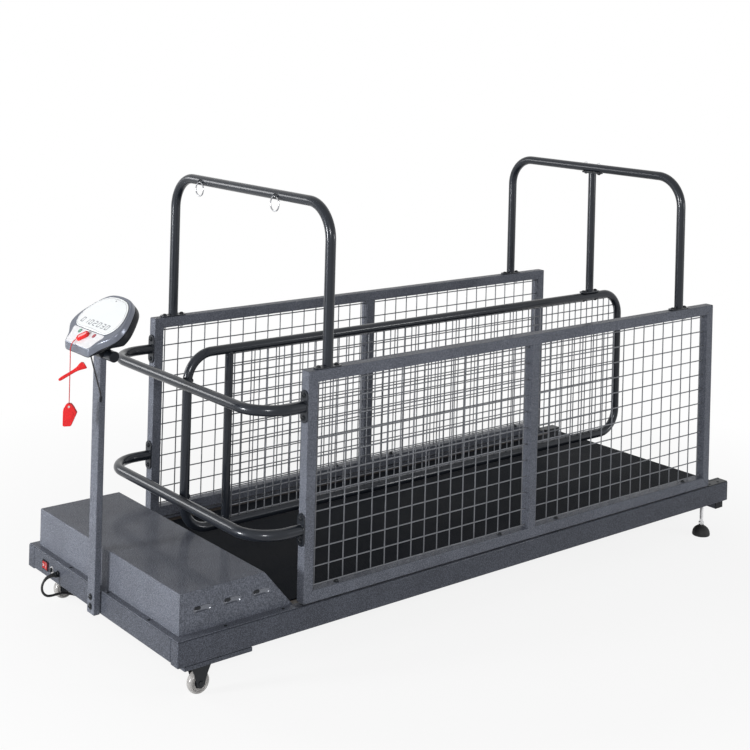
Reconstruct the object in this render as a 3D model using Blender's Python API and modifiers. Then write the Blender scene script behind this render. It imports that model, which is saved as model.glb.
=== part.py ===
"""Two-lane motorised dog treadmill, modelled as an assembly of separate pieces.

Metres, +Z up. The motor end faces -X, the near side is -Y and the floor is z = 0. While the pieces
are built, x = 0 is the front face of the side panels; the last step centres the footprint on the origin.
"""
import math

import bmesh
import bpy
from mathutils import Matrix, Vector

MM = 0.001

# Clearances
TOUCH = 0.3 * MM
RING_STEPS = 24

# Side panels: mitred square tube with welded wire mesh
PANEL_LENGTH = 1755 * MM
PANEL_HEIGHT = 632 * MM
PANEL_TUBE = 32 * MM
PANEL_SPAN = 848 * MM
PANEL_LIFT = 4 * MM
PANEL_BOLT_INSET = 124 * MM
PANEL_BOLT_RADIUS = 9 * MM
PANEL_BOLT_HEAD = 6 * MM
MESH_END_GAP = 14.75 * MM
MESH_EDGE_GAP = 9 * MM
MESH_COLUMNS = 6
MESH_ROWS = 4
WIRE = 4 * MM

# Base frame
RAIL_FRONT = 394 * MM
RAIL_TAIL = 105 * MM
RAIL_WIDTH = 36 * MM
RAIL_HEIGHT = 65 * MM
RAIL_WALL = 2.5 * MM
RAIL_UNDER = 103 * MM
RAIL_PROUD = 3 * MM
BEAM_DEPTH = 36 * MM
BEAM_HEIGHT = 61 * MM
REAR_TUBE_DEPTH = 40 * MM
REAR_TUBE_HEIGHT = 21 * MM
REAR_TUBE_INSET = 45 * MM
CROSSMEMBER_WIDTH = 50 * MM
CROSSMEMBER_HEIGHT = 25 * MM
CROSSMEMBER_INSET = 420 * MM

# Casters and levelling feet
MOUNT_LENGTH = 208 * MM
MOUNT_DEPTH = 92 * MM
MOUNT_THICKNESS = 12 * MM
MOUNT_INSET = 21 * MM
CASTER_INSET = 46 * MM
CASTER_BACK = 93 * MM
WHEEL_RADIUS = 31 * MM
WHEEL_WIDTH = 24 * MM
FORK_SHEET = 3 * MM
FORK_TOP_LENGTH = 68 * MM
FORK_FOOT_RADIUS = 13 * MM
FORK_GAP = 1.5 * MM
AXLE_RADIUS = 4 * MM
FOOT_X_INSET = 16 * MM
FOOT_RADIUS = 30.5 * MM
FOOT_HEIGHT = 40 * MM
STUD_RADIUS = 6 * MM
STUD_ENGAGEMENT = 35 * MM
FOOT_NUT_RADIUS = 10 * MM
FOOT_NUT_HEIGHT = 8 * MM

# Running deck and drive
BELT_EDGE = 64 * MM
BELT_WIDTH = PANEL_SPAN - 2 * BELT_EDGE
BELT_THICKNESS = 2.5 * MM
BELT_BELOW_RAIL = 3 * MM
ROLLER_RADIUS = 27 * MM
ROLLER_EDGE = 4 * MM
ROLLER_LENGTH = BELT_WIDTH + 2 * ROLLER_EDGE
ROLLER_WALL = 3 * MM
ROLLER_BEARING = 12 * MM
SHAFT_RADIUS = 8.5 * MM
DRIVE_ROLLER_FRONT = 90 * MM
TAIL_ROLLER_INSET = 35 * MM
DECK_THICKNESS = 18 * MM
DECK_SIDE_GAP = 3 * MM
DECK_END_GAP = 10 * MM
TAIL_BRACKET_LENGTH = 90 * MM
TAIL_BRACKET_SHEET = 8 * MM
TAIL_BRACKET_TOP = 4 * MM
PULLEY_WIDTH = 20 * MM
ROLLER_PULLEY_RADIUS = 31.5 * MM
MOTOR_PULLEY_RADIUS = 14 * MM
MOTOR_SHAFT_RADIUS = 7 * MM
DRIVE_BELT_THICKNESS = 3 * MM
DRIVE_BELT_WIDTH = 16 * MM
MOTOR_RADIUS = 50 * MM
MOTOR_LENGTH = 190 * MM
MOTOR_BACK = 139 * MM
MOTOR_LIFT = 8 * MM
MOTOR_SIDE_GAP = 51 * MM
BRACKET_LENGTH = 188 * MM
BRACKET_SHEET = 4 * MM
BRACKET_DROP = 7 * MM
SADDLE_SHEET = 6 * MM
SADDLE_LENGTH = 84 * MM
CONTROLLER_LENGTH = 140 * MM
CONTROLLER_WIDTH = 160 * MM
CONTROLLER_HEIGHT = 55 * MM
CONTROLLER_FINS = 8

# Motor cover
COVER_SHEET = 2.5 * MM
COVER_FRONT = 374 * MM
COVER_TOP_REAR = 111 * MM
COVER_REAR = 14 * MM
COVER_HEIGHT = 110 * MM
COVER_INSET = 28 * MM
COVER_LIP = 19 * MM
COVER_SIDE_LIP = 27 * MM

# Round tubes: hoops, U rails and lane divider
TUBE_RADIUS = 15 * MM
BEND_RADIUS = 100 * MM
BEND_STEPS = 6
FLANGE_LENGTH = 90 * MM
FLANGE_WIDTH = 32 * MM
FLANGE_SHEET = 4 * MM
FLANGE_BOLTS = 62 * MM
BOLT_HEAD_RADIUS = 6.5 * MM
BOLT_HEAD_HEIGHT = 5 * MM
U_REACH = 150 * MM
UPPER_U_DROP = 97 * MM
UPPER_U_HEIGHT = PANEL_HEIGHT - UPPER_U_DROP
LOWER_U_HEIGHT = 200 * MM
HOOP_RISE = 447 * MM
FRONT_HOOP_X = 74 * MM
REAR_HOOP_INSET = 170 * MM
REAR_HOOP_X = PANEL_LENGTH - REAR_HOOP_INSET
CENTRE_TUBE_RADIUS = 14 * MM
DIVIDER_RADIUS = 14 * MM
DIVIDER_BEND = 80 * MM
DIVIDER_DROP = 21 * MM
DIVIDER_TOP = PANEL_HEIGHT - DIVIDER_DROP
DIVIDER_BOTTOM = 99 * MM
DIVIDER_UPRIGHT_RADIUS = 12.5 * MM
DIVIDER_UPRIGHT_X = 22 * MM
DIVIDER_MESH_MARGIN = 22 * MM
DIVIDER_COLUMNS = 9
DIVIDER_ROWS = 3

# Tie rings under the front hoop
RING_RADIUS = 21 * MM
RING_WIRE = 2 * MM
EYE_RADIUS = 6 * MM
EYE_PROUD = 3.5 * MM
EYE_DROP = 1.5 * MM
RING_FAR_Y = 240 * MM
RING_NEAR_Y = -163 * MM

# Console on its post
POST_WIDTH = 40 * MM
POST_DEPTH = 20 * MM
POST_DROP = 1 * MM
POST_BOLT_LOW = 20 * MM
POST_BOLT_RISE = 26 * MM
T_BAR_HEIGHT = 828 * MM
T_BAR_LENGTH = 164 * MM
CONSOLE_TILT = math.radians(50)
CONSOLE_OFFSET = 75 * MM
CONSOLE_SIDE = -12 * MM
FACE_THICKNESS = 18 * MM
BACK_DEPTH = 27 * MM
BACK_TAPER = 0.98
CLAMP_WIDTH = 70 * MM
CLAMP_HEIGHT = 40 * MM
CLAMP_WRAP = 5 * MM
CHIN_HALF = 70 * MM
CHIN_LOW = -44 * MM
CHIN_FLARE = 11 * MM
BACK_CHIN_LOW = -5 * MM
SHIELD_HALF = 126 * MM
SHIELD_WIDE = 28 * MM
SHOULDER_HALF = 97 * MM
SHOULDER_UP = 98 * MM
SHIELD_TOP = 141 * MM
SHIELD_TOP_HALF = 46 * MM
DISPLAY_LOW = 14 * MM
DISPLAY_RIM = 13 * MM
DISPLAY_THICKNESS = 1.5 * MM
KEY_RADIUS = 8 * MM
KEY_POCKET = 3 * MM
KEY_PROUD = 1 * MM
KEY_LENGTH = 2.5 * MM
KEY_SPREAD = 40 * MM
SAFETY_KEY_TURN = math.radians(-45)
SAFETY_KEY_LENGTH = 40 * MM
SAFETY_KEY_WIDTH = 20 * MM
SAFETY_KEY_HEIGHT = 9 * MM
SAFETY_KEY_LOW = -13 * MM
LANYARD_RADIUS = 1.25 * MM
LANYARD_DROP = 68 * MM
LANYARD_LOWER = 76 * MM
LANYARD_EDGE = 5 * MM
LANYARD_TURN = math.radians(-39)
TOGGLE_SHORT_ARM = 36 * MM
TOGGLE_LONG_ARM = 48 * MM
TOGGLE_WIDTH = 10 * MM
TOGGLE_FLARE = 24 * MM
TOGGLE_THICKNESS = 9 * MM
TOGGLE_SLANT = math.radians(-32)
CLIP_LENGTH = 63 * MM
CLIP_WIDTH = 39 * MM
CLIP_THICKNESS = 12 * MM
CABLE_RADIUS = 2 * MM
CABLE_PLUG_RADIUS = 4 * MM
CABLE_PLUG_LENGTH = 16 * MM
CABLE_EXIT_SIDE = 20 * MM
CABLE_PLUG_FRONT = 22 * MM
CABLE_PLUG_SIDE = 50 * MM
CABLE_PLUG_HEIGHT = 719 * MM

# Controls on the front beam
SWITCH_INSET = 109 * MM
SWITCH_Y = PANEL_SPAN / 2 - SWITCH_INSET
SWITCH_WIDTH = 28 * MM
SWITCH_HEIGHT = 21 * MM
SWITCH_DEPTH = 10 * MM
SWITCH_PROUD = 4 * MM
SWITCH_PLAY = 1.6 * MM
BREAKER_INSET = 152 * MM
BREAKER_Y = PANEL_SPAN / 2 - BREAKER_INSET
BREAKER_RADIUS = 6.5 * MM
BREAKER_PROUD = 8 * MM
BREAKER_DEPTH = 12 * MM
GLAND_INSET = 190 * MM
GLAND_Y = PANEL_SPAN / 2 - GLAND_INSET
GLAND_RADIUS = 10 * MM
GLAND_NECK = 6.5 * MM
GLAND_LENGTH = 14 * MM

# Mains cord
CORD_RADIUS = 3.5 * MM
CORD_BEND = 29 * MM
COIL_TURNS = 3
COIL_MEAN_RADIUS = 42 * MM
COIL_STEP = 7.8 * MM
COIL_RISE = 7.7 * MM
COIL_POINTS = 24
COIL_BEHIND = 190 * MM
COIL_INSET = 134 * MM
COIL_Y = PANEL_SPAN / 2 - COIL_INSET
COIL_TAIL = 50 * MM
PLUG_LENGTH = 46 * MM
PLUG_RADIUS = 11 * MM

# Derived levels and places
RAIL_TOP = RAIL_UNDER + RAIL_HEIGHT
PANEL_BOTTOM = RAIL_TOP + PANEL_LIFT
PANEL_TOP = PANEL_BOTTOM + PANEL_HEIGHT
PANEL_Y = (PANEL_SPAN - PANEL_TUBE) / 2
RAIL_OUT = PANEL_SPAN / 2 + RAIL_PROUD
RAIL_IN = RAIL_OUT - RAIL_WIDTH
RAIL_Y = (RAIL_OUT + RAIL_IN) / 2
RAIL_REAR = PANEL_LENGTH + RAIL_TAIL
BEAM_FRONT = -RAIL_FRONT
BEAM_BOTTOM = RAIL_TOP - BEAM_HEIGHT
BEAM_MIDDLE = RAIL_TOP - BEAM_HEIGHT / 2
BELT_TOP = RAIL_TOP - BELT_BELOW_RAIL
DECK_TOP = BELT_TOP - BELT_THICKNESS - TOUCH
DECK_UNDER = DECK_TOP - DECK_THICKNESS
ROLLER_Z = DECK_TOP - ROLLER_RADIUS
DRIVE_X = -DRIVE_ROLLER_FRONT
TAIL_X = RAIL_REAR - TAIL_ROLLER_INSET
MOTOR_X = BEAM_FRONT + MOTOR_BACK
BRACKET_TOP = BEAM_BOTTOM + BRACKET_DROP
MOTOR_Z = BRACKET_TOP + MOTOR_LIFT + MOTOR_RADIUS
MOTOR_NEAR_Y = -RAIL_IN + MOTOR_SIDE_GAP
PULLEY_Y = -(ROLLER_LENGTH / 2 + TOUCH + PULLEY_WIDTH / 2)
UPPER_U_Z = PANEL_BOTTOM + UPPER_U_HEIGHT
LOWER_U_Z = PANEL_BOTTOM + LOWER_U_HEIGHT
HOOP_Z = PANEL_TOP + HOOP_RISE
DIVIDER_TOP_Z = PANEL_BOTTOM + DIVIDER_TOP
DIVIDER_BOTTOM_Z = PANEL_BOTTOM + DIVIDER_BOTTOM
DIVIDER_FRONT_X = -U_REACH + TUBE_RADIUS + TOUCH + DIVIDER_RADIUS
DIVIDER_REAR_X = PANEL_LENGTH - DIVIDER_RADIUS
MOUNT_UNDER = RAIL_UNDER - TOUCH - MOUNT_THICKNESS
CASTER_Y = PANEL_SPAN / 2 - CASTER_INSET
CASTER_X = BEAM_FRONT + CASTER_BACK
FOOT_X = PANEL_LENGTH - FOOT_X_INSET
POST_X = BEAM_FRONT - TOUCH - POST_DEPTH / 2
EYE_X = FRONT_HOOP_X - TUBE_RADIUS - EYE_PROUD
EYE_Z = HOOP_Z - EYE_DROP

FINISHES = {
    "hammertone": ((0.115, 0.125, 0.145), 0.42, 0.55),
    "satin_black": ((0.035, 0.038, 0.045), 0.38, 0.4),
    "tube_grey": ((0.085, 0.095, 0.115), 0.28, 0.7),
    "wire": ((0.16, 0.17, 0.18), 0.4, 0.6),
    "steel": ((0.55, 0.56, 0.58), 0.3, 1.0),
    "chrome": ((0.75, 0.76, 0.78), 0.12, 1.0),
    "rubber": ((0.012, 0.013, 0.015), 0.7, 0.0),
    "board": ((0.03, 0.03, 0.03), 0.6, 0.0),
    "clear_wheel": ((0.78, 0.77, 0.74), 0.25, 0.0),
    "motor_grey": ((0.2, 0.21, 0.22), 0.45, 0.3),
    "silver": ((0.62, 0.65, 0.7), 0.3, 0.4),
    "white": ((0.88, 0.9, 0.92), 0.3, 0.0),
    "green": ((0.1, 0.5, 0.22), 0.4, 0.0),
    "red": ((0.75, 0.02, 0.02), 0.35, 0.0),
    "black_plastic": ((0.02, 0.02, 0.022), 0.4, 0.0),
}
COLLECTIONS = {}
UP = Vector((0, 0, 1))
TO_Y = Matrix.Rotation(-math.pi / 2, 4, "X")
TO_MINUS_X = Matrix.Rotation(-math.pi / 2, 4, "Y")
PLANE_XZ = Matrix.Rotation(math.pi / 2, 4, "X")
PLANE_YZ = Matrix(((0, 0, 1, 0), (1, 0, 0, 0), (0, 1, 0, 0), (0, 0, 0, 1)))
SIDES = (("near", -1), ("far", 1))


def start_scene():
    """Empties the file and makes the two collections, one for the pieces and one for the cutters."""
    for obj in list(bpy.data.objects):
        bpy.data.objects.remove(obj, do_unlink=True)
    for title in ("dog_treadmill", "cutters"):
        collection = bpy.data.collections.new(title)
        bpy.context.scene.collection.children.link(collection)
        COLLECTIONS[title] = collection


def finish_material(name, finish):
    """A material of its own for one piece, in one of the named finishes."""
    colour, roughness, metallic = FINISHES[finish]
    material = bpy.data.materials.new(name)
    material.use_nodes = True
    shader = material.node_tree.nodes["Principled BSDF"]
    shader.inputs["Base Color"].default_value = (*colour, 1.0)
    shader.inputs["Roughness"].default_value = roughness
    shader.inputs["Metallic"].default_value = metallic
    material.diffuse_color = (*colour, 1.0)
    return material


def add_part(name, data, finish, place=None, smooth=False):
    """Puts a mesh or a curve in the treadmill's collection under its own name and material."""
    data.name = name
    data.materials.append(finish_material(name, finish))
    if smooth:
        data.shade_smooth()
        data.set_sharp_from_angle(angle=math.radians(35))
    obj = bpy.data.objects.new(name, data)
    COLLECTIONS["dog_treadmill"].objects.link(obj)
    if place is not None:
        obj.matrix_world = place
    return obj


def combine(obj, operation, mesh, place=None):
    """Joins a mesh to a piece, or cuts it out, through a live Boolean modifier."""
    tool = bpy.data.objects.new(f"{obj.name}_{operation.lower()}", mesh)
    COLLECTIONS["cutters"].objects.link(tool)
    if place is not None:
        tool.matrix_world = place
    tool.hide_render = True
    tool.display_type = "WIRE"
    step = obj.modifiers.new(operation.lower(), "BOOLEAN")
    step.operation = operation
    step.object = tool
    step.solver = "EXACT"
    return tool


def mesh_of(bm, name):
    """Turns a bmesh into a mesh and frees it."""
    mesh = bpy.data.meshes.new(name)
    bm.to_mesh(mesh)
    bm.free()
    return mesh


def box(low, high):
    """A closed box between two corners."""
    low = Vector(low)
    high = Vector(high)
    bm = bmesh.new()
    place = Matrix.Translation((low + high) / 2) @ Matrix.Diagonal((*(high - low), 1.0))
    bmesh.ops.create_cube(bm, size=1.0, matrix=place)
    return mesh_of(bm, "box")


def rod(start, end, radius, sides=24):
    """A closed cylinder from one point to another."""
    start = Vector(start)
    run = Vector(end) - start
    turn = UP.rotation_difference(run).to_matrix().to_4x4()
    bm = bmesh.new()
    bmesh.ops.create_cone(bm, cap_ends=True, segments=sides, radius1=radius, radius2=radius,
                          depth=run.length, matrix=Matrix.Translation(start + run / 2) @ turn)
    return mesh_of(bm, "rod")


def torus(centre, ring, wire, place, ring_steps=20, wire_steps=6):
    """A closed ring of round wire: a small circle spun round the ring's axis."""
    bm = bmesh.new()
    verts = []
    for k in range(wire_steps):
        angle = 2 * math.pi * k / wire_steps
        verts.append(bm.verts.new((ring + wire * math.cos(angle), 0, wire * math.sin(angle))))
    edges = [bm.edges.new((verts[k], verts[(k + 1) % wire_steps])) for k in range(wire_steps)]
    bmesh.ops.spin(bm, geom=verts + edges, cent=(0, 0, 0), axis=(0, 0, 1), dvec=(0, 0, 0),
                   angle=2 * math.pi, steps=ring_steps, use_merge=True, use_duplicate=False)
    bmesh.ops.remove_doubles(bm, verts=bm.verts, dist=1e-6)
    bmesh.ops.recalc_face_normals(bm, faces=bm.faces)
    bmesh.ops.transform(bm, matrix=Matrix.Translation(centre) @ place, verts=bm.verts)
    return mesh_of(bm, "torus")


def curve_mesh(curve):
    """Turns a curve into a welded, closed mesh, and removes the curve."""
    holder = bpy.data.objects.new("holder", curve)
    bpy.context.scene.collection.objects.link(holder)
    bpy.context.view_layer.update()
    evaluated = holder.evaluated_get(bpy.context.evaluated_depsgraph_get())
    mesh = bpy.data.meshes.new_from_object(evaluated)
    bpy.data.objects.remove(holder, do_unlink=True)
    bpy.data.curves.remove(curve)
    bm = bmesh.new()
    bm.from_mesh(mesh)
    bmesh.ops.remove_doubles(bm, verts=bm.verts, dist=1e-6)
    bmesh.ops.recalc_face_normals(bm, faces=bm.faces)
    bm.to_mesh(mesh)
    bm.free()
    return mesh


def tube_curve(points, radius, resolution, closed=False):
    """A round tube along a list of points, as a bevelled poly curve."""
    curve = bpy.data.curves.new("tube", "CURVE")
    curve.dimensions = "3D"
    curve.bevel_depth = radius
    curve.bevel_resolution = resolution
    curve.use_fill_caps = not closed
    spline = curve.splines.new("POLY")
    spline.points.add(len(points) - 1)
    for spot, point in zip(spline.points, points):
        spot.co = (*point, 1.0)
    spline.use_cyclic_u = closed
    return curve


def tube(points, radius, resolution=4, closed=False):
    """The same tube as a closed mesh, ready for a Boolean."""
    return curve_mesh(tube_curve(points, radius, resolution, closed))


def plate(outlines, thickness):
    """A flat plate in its own XY plane, from an outline and any holes, centred on z = 0."""
    curve = bpy.data.curves.new("plate", "CURVE")
    curve.dimensions = "2D"
    curve.fill_mode = "BOTH"
    curve.extrude = thickness / 2
    for outline in outlines:
        spline = curve.splines.new("POLY")
        spline.points.add(len(outline) - 1)
        for spot, (x, y) in zip(spline.points, outline):
            spot.co = (x, y, 0.0, 1.0)
        spline.use_cyclic_u = True
    return curve_mesh(curve)


def add_turned(name, profile, finish, place, steps=RING_STEPS):
    """A profile of (radius, height) points turned about the piece's own Z axis with a Screw."""
    mesh = bpy.data.meshes.new(name)
    count = len(profile)
    bored = min(radius for radius, _ in profile) > 0
    edges = [(k, k + 1) for k in range(count - 1)]
    if bored:
        edges.append((count - 1, 0))
    mesh.from_pydata([(radius, 0.0, height) for radius, height in profile], edges, [])
    obj = add_part(name, mesh, finish, place)
    turn = obj.modifiers.new("turn", "SCREW")
    turn.axis = "Z"
    turn.steps = steps
    turn.render_steps = steps
    turn.use_merge_vertices = True
    turn.merge_threshold = 0.00001
    return obj


def sleeve(outer, inner, length):
    """The profile of a bored cylinder centred on its own middle."""
    half = length / 2
    return [(outer, half), (outer, -half), (inner, -half), (inner, half)]


def rectangle(x0, x1, y0, y1):
    """The four corners of a rectangle."""
    return [(x0, y0), (x1, y0), (x1, y1), (x0, y1)]


def capsule(length, width, steps=6):
    """An outline with two straight sides and two half-round ends, along its own Y."""
    radius = width / 2
    straight = length / 2 - radius
    points = []
    for way in (1, -1):
        for k in range(steps + 1):
            angle = math.pi * k / steps
            points.append((way * radius * math.cos(angle), way * (straight + radius * math.sin(angle))))
    return points


def rounded_path(corners, radius, steps=BEND_STEPS, closed=False):
    """Points along straight runs, with an arc of one radius at each bend."""
    points = []
    count = len(corners)
    for index, corner in enumerate(corners):
        corner = Vector(corner)
        if not closed and index in (0, count - 1):
            points.append(corner)
            continue
        back = (Vector(corners[index - 1]) - corner).normalized()
        ahead = (Vector(corners[(index + 1) % count]) - corner).normalized()
        half = back.angle(ahead) / 2
        reach = radius / math.tan(half)
        centre = corner + (back + ahead).normalized() * (radius / math.sin(half))
        start = corner + back * reach - centre
        end = corner + ahead * reach - centre
        swing = start.angle(end)
        for k in range(steps + 1):
            share = k / steps
            blend = (start * math.sin((1 - share) * swing) + end * math.sin(share * swing)) / math.sin(swing)
            points.append(centre + blend)
    return points


def cord_path(start, out, knots, end, back, radius):
    """Points every two diameters on a smooth route that leaves and arrives square, with its length."""
    straight = 2 * radius
    route = [start + out * straight] + knots + [end + back * straight]
    fine = []
    for index in range(len(route) - 1):
        before = route[max(index - 1, 0)]
        here = route[index]
        there = route[index + 1]
        after = route[min(index + 2, len(route) - 1)]
        for k in range(20):
            t = k / 20
            fine.append(0.5 * (2 * here + (there - before) * t
                               + (2 * before - 5 * here + 4 * there - after) * t ** 2
                               + (3 * here - before - 3 * there + after) * t ** 3))
    fine.append(route[-1])
    length = sum((b - a).length for a, b in zip(fine, fine[1:]))
    count = max(2, round(length / (4 * radius)))
    points = [start, fine[0]]
    walked = 0.0
    for a, b in zip(fine, fine[1:]):
        walked += (b - a).length
        if walked >= length * (len(points) - 1) / count and len(points) < count + 1:
            points.append(b)
    points += [fine[-1], end]
    return points, length + 2 * straight


def belt_outline(front, front_radius, rear, rear_radius, steps=14):
    """The outline of a belt pulled tight round two rollers, in the X-Z plane."""
    run = math.hypot(rear[0] - front[0], rear[1] - front[1])
    lean = math.atan2(rear[1] - front[1], rear[0] - front[0])
    wrap = math.acos((front_radius - rear_radius) / run)
    points = []
    for k in range(steps + 1):
        angle = lean + wrap + (2 * math.pi - 2 * wrap) * k / steps
        points.append((front[0] + front_radius * math.cos(angle), front[1] + front_radius * math.sin(angle)))
    for k in range(steps + 1):
        angle = lean - wrap + 2 * wrap * k / steps
        points.append((rear[0] + rear_radius * math.cos(angle), rear[1] + rear_radius * math.sin(angle)))
    return points


def lattice(x0, x1, z0, z1, columns, rows, stub):
    """Outlines of a welded wire grid: border wires, cells, and wire ends that reach the frame."""
    half = WIRE / 2
    xs = [x0 + (x1 - x0) * k / columns for k in range(columns + 1)]
    zs = [z0 + (z1 - z0) * k / rows for k in range(rows + 1)]
    outer = [(x0 - half, z0 - half), (x1 + half, z0 - half)]
    for z in zs[1:-1]:
        outer += [(x1 + half, z - half), (x1 + half + stub, z - half)]
        outer += [(x1 + half + stub, z + half), (x1 + half, z + half)]
    outer += [(x1 + half, z1 + half), (x0 - half, z1 + half)]
    for z in reversed(zs[1:-1]):
        outer += [(x0 - half, z + half), (x0 - half - stub, z + half)]
        outer += [(x0 - half - stub, z - half), (x0 - half, z - half)]
    cells = []
    for left, right in zip(xs, xs[1:]):
        for low, high in zip(zs, zs[1:]):
            cells.append(rectangle(left + half, right - half, low + half, high - half))
    return [outer] + cells


def base_frame():
    """Two hollow side rails with their tail roller brackets, and the tubes across them."""
    for label, side in SIDES:
        inner = side * RAIL_IN
        outer = side * RAIL_OUT
        low_y, high_y = sorted((inner, outer))
        rail = add_part(f"{label}_side_rail", box((BEAM_FRONT, low_y, RAIL_UNDER),
                                                  (RAIL_REAR, high_y, RAIL_TOP)), "hammertone")
        ear_y = sorted((side * (RAIL_IN - TAIL_BRACKET_SHEET), side * (RAIL_IN + RAIL_WALL / 2)))
        ear_front = TAIL_X - TAIL_BRACKET_LENGTH / 2
        ear_rear = min(TAIL_X + TAIL_BRACKET_LENGTH / 2, RAIL_REAR)
        bracket_top = RAIL_TOP + TAIL_BRACKET_TOP
        combine(rail, "UNION", box((ear_front, ear_y[0], ROLLER_Z - ROLLER_RADIUS),
                                   (ear_rear, ear_y[1], bracket_top)))
        cap_y = sorted((side * RAIL_IN, side * (RAIL_OUT - RAIL_WALL)))
        cap_front = max(ear_front, PANEL_LENGTH + PANEL_LIFT)
        combine(rail, "UNION", box((cap_front, cap_y[0], RAIL_TOP - RAIL_WALL / 2),
                                   (ear_rear, cap_y[1], bracket_top)))
        combine(rail, "DIFFERENCE", box((BEAM_FRONT - RAIL_WALL, low_y + RAIL_WALL, RAIL_UNDER + RAIL_WALL),
                                        (RAIL_REAR + RAIL_WALL, high_y - RAIL_WALL, RAIL_TOP - RAIL_WALL)))
        hole = SHAFT_RADIUS + TOUCH
        reach = (side * (RAIL_IN - 2 * TAIL_BRACKET_SHEET), side * (RAIL_IN + 2 * RAIL_WALL))
        combine(rail, "DIFFERENCE", rod((DRIVE_X, reach[0], ROLLER_Z), (DRIVE_X, reach[1], ROLLER_Z), hole))
        combine(rail, "DIFFERENCE", rod((TAIL_X, reach[0], ROLLER_Z), (TAIL_X, reach[1], ROLLER_Z), hole))
        combine(rail, "DIFFERENCE", rod((FOOT_X, side * RAIL_Y, RAIL_UNDER - RAIL_WALL),
                                        (FOOT_X, side * RAIL_Y, RAIL_UNDER + 2 * RAIL_WALL),
                                        STUD_RADIUS + TOUCH))
    half = RAIL_IN - TOUCH
    beam = add_part("front_crossbeam", box((BEAM_FRONT, -half, BEAM_BOTTOM),
                                           (BEAM_FRONT + BEAM_DEPTH, half, RAIL_TOP)), "hammertone")
    combine(beam, "DIFFERENCE", box((BEAM_FRONT + RAIL_WALL, -RAIL_OUT, BEAM_BOTTOM + RAIL_WALL),
                                    (BEAM_FRONT + BEAM_DEPTH - RAIL_WALL, RAIL_OUT, RAIL_TOP - RAIL_WALL)))
    wall = (BEAM_FRONT - RAIL_WALL, BEAM_FRONT + 2 * RAIL_WALL)
    switch_half = SWITCH_WIDTH / 2 + SWITCH_PLAY
    switch_rise = SWITCH_HEIGHT / 2 + TOUCH
    combine(beam, "DIFFERENCE", box((wall[0], SWITCH_Y - switch_half, BEAM_MIDDLE - switch_rise),
                                    (wall[1], SWITCH_Y + switch_half, BEAM_MIDDLE + switch_rise)))
    for y, radius in ((BREAKER_Y, BREAKER_RADIUS), (GLAND_Y, GLAND_NECK)):
        combine(beam, "DIFFERENCE", rod((wall[0], y, BEAM_MIDDLE), (wall[1], y, BEAM_MIDDLE), radius + TOUCH))
    tube_rear = RAIL_REAR - REAR_TUBE_INSET / 2
    tube_top = RAIL_UNDER - TOUCH
    tube_front = tube_rear - REAR_TUBE_DEPTH
    tube_low = tube_top - REAR_TUBE_HEIGHT
    rear = add_part("rear_cross_tube", box((tube_front, -PANEL_SPAN / 2, tube_low),
                                           (tube_rear, PANEL_SPAN / 2, tube_top)), "hammertone")
    combine(rear, "DIFFERENCE", box((tube_front + RAIL_WALL, -RAIL_OUT, tube_low + RAIL_WALL),
                                    (tube_rear - RAIL_WALL, RAIL_OUT, tube_top - RAIL_WALL)))
    top = DECK_UNDER - TOUCH
    for label, x in (("front", CROSSMEMBER_INSET), ("rear", PANEL_LENGTH - CROSSMEMBER_INSET)):
        cross = add_part(f"{label}_deck_crossmember",
                         box((x - CROSSMEMBER_WIDTH / 2, -half, top - CROSSMEMBER_HEIGHT),
                             (x + CROSSMEMBER_WIDTH / 2, half, top)), "satin_black")
        combine(cross, "DIFFERENCE", box((x - CROSSMEMBER_WIDTH / 2 + RAIL_WALL, -RAIL_OUT,
                                          top - CROSSMEMBER_HEIGHT + RAIL_WALL),
                                         (x + CROSSMEMBER_WIDTH / 2 - RAIL_WALL, RAIL_OUT, top - RAIL_WALL)))


def casters():
    """Mounting plates, fixed forks with their axle bolts, and the two front wheels."""
    mount_front = BEAM_FRONT + MOUNT_INSET
    plate_top = MOUNT_UNDER - TOUCH
    cheek_in = WHEEL_WIDTH / 2 + FORK_GAP
    cheek_out = cheek_in + FORK_SHEET
    foot = FORK_FOOT_RADIUS
    half_top = FORK_TOP_LENGTH / 2
    cheek_outline = [(-half_top, plate_top - FORK_SHEET / 2)]
    for k in range(9):
        angle = math.radians(200 + 140 * k / 8)
        cheek_outline.append((foot * math.cos(angle), WHEEL_RADIUS + foot * math.sin(angle)))
    cheek_outline.append((half_top, plate_top - FORK_SHEET / 2))
    for label, side in SIDES:
        y = side * CASTER_Y
        mount_y = sorted((side * RAIL_OUT, side * (RAIL_OUT - MOUNT_DEPTH)))
        add_part(f"{label}_caster_mount", box((mount_front, mount_y[0], MOUNT_UNDER),
                                              (mount_front + MOUNT_LENGTH, mount_y[1], RAIL_UNDER - TOUCH)),
                 "hammertone")
        fork = add_part(f"{label}_caster_fork",
                        box((CASTER_X - half_top, y - cheek_out, plate_top - FORK_SHEET),
                            (CASTER_X + half_top, y + cheek_out, plate_top)), "satin_black")
        for way in (-1, 1):
            middle = y + way * (cheek_in + cheek_out) / 2
            combine(fork, "UNION", plate([cheek_outline], FORK_SHEET),
                    Matrix.Translation((CASTER_X, middle, 0)) @ PLANE_XZ)
        combine(fork, "UNION", rod((CASTER_X, y - cheek_out - FORK_SHEET, WHEEL_RADIUS),
                                   (CASTER_X, y + cheek_out + FORK_SHEET, WHEEL_RADIUS), AXLE_RADIUS))
        edge = 4 * MM
        half = WHEEL_WIDTH / 2
        bore = AXLE_RADIUS + TOUCH
        rim = [(WHEEL_RADIUS - edge, half), (WHEEL_RADIUS, half - edge), (WHEEL_RADIUS, edge - half),
               (WHEEL_RADIUS - edge, -half), (bore, -half), (bore, half)]
        add_turned(f"{label}_caster_wheel", rim, "clear_wheel",
                   Matrix.Translation((CASTER_X, y, WHEEL_RADIUS)) @ TO_Y)


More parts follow.
